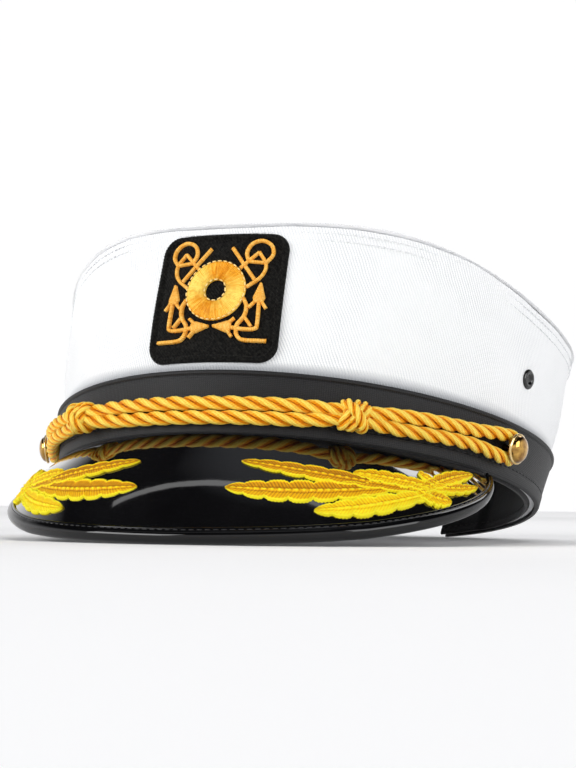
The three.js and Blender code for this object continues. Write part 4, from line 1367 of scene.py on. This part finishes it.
def make_emblem():
    """Gold ring over two crossed anchors in padded satin stitch; both rims of the ring are edged with
    short pale stitches."""
    ray_count = 110
    rim_height = 1.72
    pieces = []
    scale = PATCH_WIDTH / EMBLEM_DRAWN_FOR
    for at, line in enumerate(ANCHOR_LINES):
        for mirror in (-1, 1):
            options = {key: value for key, value in line.items() if key != "points"}
            points = [(x * scale, y * scale + EMBLEM_RING_AT) for x, y in line["points"]]
            lift = 0.03 * at + 0.015 * (mirror > 0)
            pieces.append(satin_line(f"anchor_{at}_{mirror}", points, lift=lift, mirror=mirror, **options))
    count = 900
    turn = np.linspace(0, TAU, count, endpoint=False)[:, None]
    share = np.linspace(0, 1, 15)[None, :]
    radius = RING_HOLE + (RING_RADIUS - RING_HOLE) * share
    rays = np.cos(turn * ray_count)
    crown = np.sqrt(np.clip(1 - (2 * share - 1) ** 6, 0, 1))
    height = 1.05 + 0.85 * crown + 0.06 * rays * smooth(share, 0.1, 0.2)
    upper = on_ring(radius, turn, height)
    lower = on_ring(radius[:, ::-1], turn, EMBLEM_BACK + 0 * height)
    grid = np.concatenate([upper, lower], axis=1)
    along = np.linspace(0, RING_MAP_LENGTH, count + 1)
    pieces.append(loft("emblem_ring", grid, RING_THREAD, joined=True, along=along, crease=80))
    emblem = join_meshes("emblem_stitched", pieces)
    hand_over(emblem, "emblem_thread", "emblem")
    whole_turn = np.linspace(0, TAU, 241)
    edges = (RING_HOLE + 0.05, RING_RADIUS - 0.15)
    rims = [on_ring(edge, whole_turn, rim_height + 0 * whole_turn) for edge in edges]
    stitches("emblem_rim_stitches", rims, RIM_THREAD, "emblem_thread", pitch=1.9, length=1.55, thickness=0.5)


# Chin cord

def cord_middle(degrees):
    """Height over the rim of the line between the cord's two runs, which sags in front."""
    return CORD_LEVEL - CORD_SAG * np.cos(np.radians(degrees)) ** 2


def cord_run_place(degrees, side):
    """Centre of a run: side -1 is the lower one. In the knots the runs stand out and draw together."""
    squeeze = 0.5
    from_knot = np.radians(np.abs(degrees) - KNOT_ANGLE) * HEAD_HALF_WIDTH
    near = np.exp(-((from_knot / KNOT_LENGTH) ** 2))
    lift = KNOT_LIFT * near
    spread = side * RUN_SPREAD * (1 - (1 - squeeze) * near)
    return on_band(degrees, cord_middle(degrees) + spread, GAP + CORD_RADIUS + lift)


def cord_centreline():
    """The loop's dense route and the direction out of the band at each place."""
    turn_radius = SHANK_WIDTH / 2 + CORD_CLEAR + CORD_RADIUS
    bow = 13
    degrees = np.linspace(-BUTTON_ANGLE, BUTTON_ANGLE, 700)
    part = smooth(np.abs(degrees), BUTTON_ANGLE - bow, BUTTON_ANGLE)
    spread = 1 + (turn_radius / RUN_SPREAD - 1) * part
    lower = cord_run_place(degrees, -spread)
    upper = cord_run_place(degrees, spread)[::-1]
    angle = np.linspace(0, math.pi, 34)[1:-1]
    loops = []
    for side in (1, -1):
        beyond = BUTTON_ANGLE + np.degrees(turn_radius * np.sin(angle) / HEAD_HALF_LENGTH)
        level = cord_middle(BUTTON_ANGLE) - turn_radius * np.cos(angle)
        loops.append((on_band(side * beyond, level, GAP + CORD_RADIUS + 0 * level), side * beyond, level))
    places = np.concatenate([lower, loops[0][0], upper, loops[1][0][::-1]])
    turns = np.concatenate([degrees, loops[0][1], degrees[::-1], loops[1][1][::-1]])
    runs = cord_middle(degrees)
    levels = np.concatenate([runs, loops[0][2], runs[::-1], loops[1][2][::-1]])
    return places, out_of_band(turns, levels)


def even_steps(route, directions, step):
    """A route and its directions at equal steps, with the length along it."""
    length = running_length(route)
    wanted = np.linspace(0, length[-1], int(length[-1] / step))

    def resample(rows):
        return np.stack([np.interp(wanted, length, rows[:, axis]) for axis in range(3)], axis=-1)

    return resample(route), unit(resample(directions)), wanted


def forward(route, joined):
    """Direction of travel at each place of a route."""
    if joined:
        return unit(np.roll(route, -1, axis=0) - np.roll(route, 1, axis=0))
    return unit(np.gradient(route, axis=0))


def across_from(directions, ahead):
    """Directions made square to the travel."""
    return unit(directions - ahead * np.sum(directions * ahead, axis=1, keepdims=True))


def twisted_rope(name, route, outward, radius, pitch, joined, sides=28, step=0.6, yarns=7):
    """Three strands laid round a route, each ribbed by its yarns and pressed a little into the others.
    Each place also keeps how far it lies from the rope's heart, which the cord's material paints as light
    on the strands' backs and as shade in the grooves."""
    strands = 3
    pressed = 1.14
    yarn_relief = 0.045
    if joined:
        route = np.concatenate([route, route[:1]])
        outward = np.concatenate([outward, outward[:1]])
    route, outward, along = even_steps(route, outward, step)
    phase = TAU * along / pitch
    if joined:
        turns = max(round(along[-1] / pitch), 1)
        phase = TAU * turns * along[:-1] / along[-1]
        route, outward = route[:-1], outward[:-1]
    ahead = forward(route, joined)
    outward = across_from(outward, ahead)
    beside = np.cross(ahead, outward)
    strand_radius = radius / (1 + 1 / math.sin(math.pi / strands))
    lay = radius - strand_radius
    fat = strand_radius * pressed
    around = np.linspace(0, TAU, sides, endpoint=False)
    pieces = []
    for strand in range(strands):
        turn = phase + TAU * strand / strands
        heart = np.cos(turn)[:, None] * outward + np.sin(turn)[:, None] * beside
        centre = route + lay * heart
        strand_ahead = forward(centre, joined)
        out = across_from(heart, strand_ahead)
        flank = np.cross(strand_ahead, out)
        ridge = np.cos(yarns * (around[None, :] - 0.45 * turn[:, None]))
        size = fat * (1 + yarn_relief * ridge)[..., None]
        ring = np.cos(around)[None, :, None] * out[:, None] + np.sin(around)[None, :, None] * flank[:, None]
        grid = centre[:, None] + size * ring
        length = running_length(centre)
        piece = loft(f"{name}_strand_{strand}", grid, ROPE, joined=joined, along=length,
                     across=np.linspace(0, TAU * fat, sides + 1), crease=80)
        # For painted light: 1 on the strand's outer back, low in the grooves, higher on each yarn's ridge
        depth = (np.cos(around)[None, :] * 0.5 + 0.5 + 0 * length[:, None]) ** 1.4 + 0.14 * ridge
        keep_values(piece, "depth", depth)
        pieces.append(piece)
    return pieces


ROPE_PITCH = 20


def make_chin_cord():
    """Chin cord: one closed rope, out along the band, round both buttons and back."""
    route, outward = cord_centreline()
    strands = twisted_rope("chin_cord", route, outward, CORD_RADIUS, ROPE_PITCH, True)
    hand_over(join_meshes("chin_cord_rope", strands), "cord_thread", "chin_cord")


def knot_coil(name, side, wraps, gap, slant, tall, deep):
    """Turns of thinner cord round both runs at a knot, `gap` mm apart and leaning by `slant` mm, `tall`
    and `deep` mm from their middle. The middle turns bulge, so that the knot is round."""
    radius = 1.75
    pitch = 13
    share = np.linspace(0, 1, 130 * wraps)
    turn = TAU * (wraps * share - 0.25)
    swell = (0.72 + 0.28 * np.sin(math.pi * share))[:, None]
    along = (share - 0.5) * wraps * gap + slant * np.cos(turn)
    degrees = side * KNOT_ANGLE + np.degrees(along / HEAD_HALF_LENGTH)
    lower = cord_run_place(degrees, -1)
    upper = cord_run_place(degrees, 1)
    rise = unit(upper - lower)
    out = out_of_band(degrees, cord_middle(degrees))
    ring = rise * (tall * np.cos(turn))[:, None] + out * (deep * np.sin(turn))[:, None]
    route = (lower + upper) / 2 + ring * swell
    direction = rise * np.cos(turn)[:, None] + out * np.sin(turn)[:, None]
    return twisted_rope(name, route, direction, radius, pitch, False, sides=24, step=0.45, yarns=6)


def make_knots():
    """Each sliding knot: the cord's own end wound aslant round both runs, and once back across."""
    aslant = dict(wraps=3, gap=2.7, slant=1.5, tall=3.7, deep=3.1)
    back_across = dict(wraps=1, gap=0.5, slant=-2.9, tall=4.0, deep=4.6)
    for side, word in ((-1, "right"), (1, "left")):
        strands = knot_coil(f"knot_{word}_turns", side, **aslant)
        strands += knot_coil(f"knot_{word}_cross", side, **back_across)
        hand_over(join_meshes(f"knot_{word}_rope", strands), "cord_thread", f"knot_{word}")


# Turned pieces

def stand_on(profile, sides, place, outward):
    """A turned profile of (radius, height) rows, its axis along `outward`."""
    turn = np.linspace(0, TAU, sides, endpoint=False)
    across = unit(np.cross(outward, (0.0, 0.0, 1.0)))
    beyond = np.cross(outward, across)
    ring = np.cos(turn)[:, None] * across + np.sin(turn)[:, None] * beyond
    return np.stack([place + outward * height + radius * ring for radius, height in profile], axis=0)


def make_buttons():
    """Domed gilt buttons on shanks that hold the cord's turns. The rim is rolled, and painted paler as a
    painted highlight.
    """
    foot = GAP + CORD_WIDTH + CORD_CLEAR
    half = BUTTON_WIDTH / 2
    rim_top = 1.02
    profile = [(0.05, GAP), (SHANK_WIDTH / 2, GAP), (SHANK_WIDTH / 2, foot), (half - 0.9, foot),
               (half - 0.3, foot + 0.05), (half - 0.02, foot + 0.35), (half, foot + 0.6),
               (half - 0.12, foot + 0.85), (half - 0.45, foot + 0.98), (half - 0.6, foot + rim_top)]
    dome = [((half - 0.7) * math.cos(turn), foot + rim_top + (BUTTON_DOME - rim_top) * math.sin(turn))
            for turn in np.radians(np.linspace(4, 89.5, 22))]
    rim_rows = (4, len(profile) - 1)
    for side, word in ((-1, "right"), (1, "left")):
        degrees = side * BUTTON_ANGLE
        level = cord_middle(degrees)
        grid = stand_on(profile + dome, 72, band_face(degrees, level), out_of_band(degrees, level))
        piece = loft(f"button_{word}_gilt", grid, GILT, along=np.arange(len(grid)), crease=45)
        # Painted highlight: the rolled rim's rows take the paler gilt
        add_inner_material(piece, GILT_RIM_PAINTED_HIGHLIGHT, lambda place: rim_rows[0] < place[0] < rim_rows[1])
        hand_over(piece, "button_metal", f"button_{word}")


def make_eyelets():
    """Vent eyelets: a rolled flange round a dished black middle, painted shade that stands for the dark of
    the hole.
    """
    face = CLOTH_THICK / 2 + 0.1
    hole = EYELET_HOLE / 2
    rim = EYELET_FLANGE / 2
    barrel = EYELET_BARREL / 2 - 0.05
    # The middle rows close the hole with black discs: painted shade in place of the open hole
    profile = [(0.05, -face - 0.1), (hole - 0.2, -face - 0.1), (hole, -face - 0.6), (barrel, -face - 0.6),
               (barrel, face - 0.08), (rim - 0.1, face - 0.08), (rim, face + 0.15), (rim - 0.12, face + 0.4),
               (rim - 0.5, face + 0.72), (rim - 1.0, face + 0.86), (hole + 0.5, face + 0.8),
               (hole + 0.1, face + 0.55), (hole - 0.2, face + 0.12), (hole - 0.3, face + 0.02),
               (0.05, face + 0.02)]
    for side, word in ((-1, "right"), (1, "left")):
        place, outward = eyelet_seat(side)
        piece = loft(f"eyelet_{word}_ring", stand_on(profile, 56, place, outward), EYELET_METAL, crease=60)
        hand_over(piece, "eyelet_metal", f"eyelet_{word}")


make_crown_side()
make_crown_top()
crown_seams()
make_band()
make_sweatband()
make_strap()
make_visor()
make_binding()
make_sprays()
make_patch()
make_emblem()
make_chin_cord()
make_knots()
make_buttons()
make_eyelets()
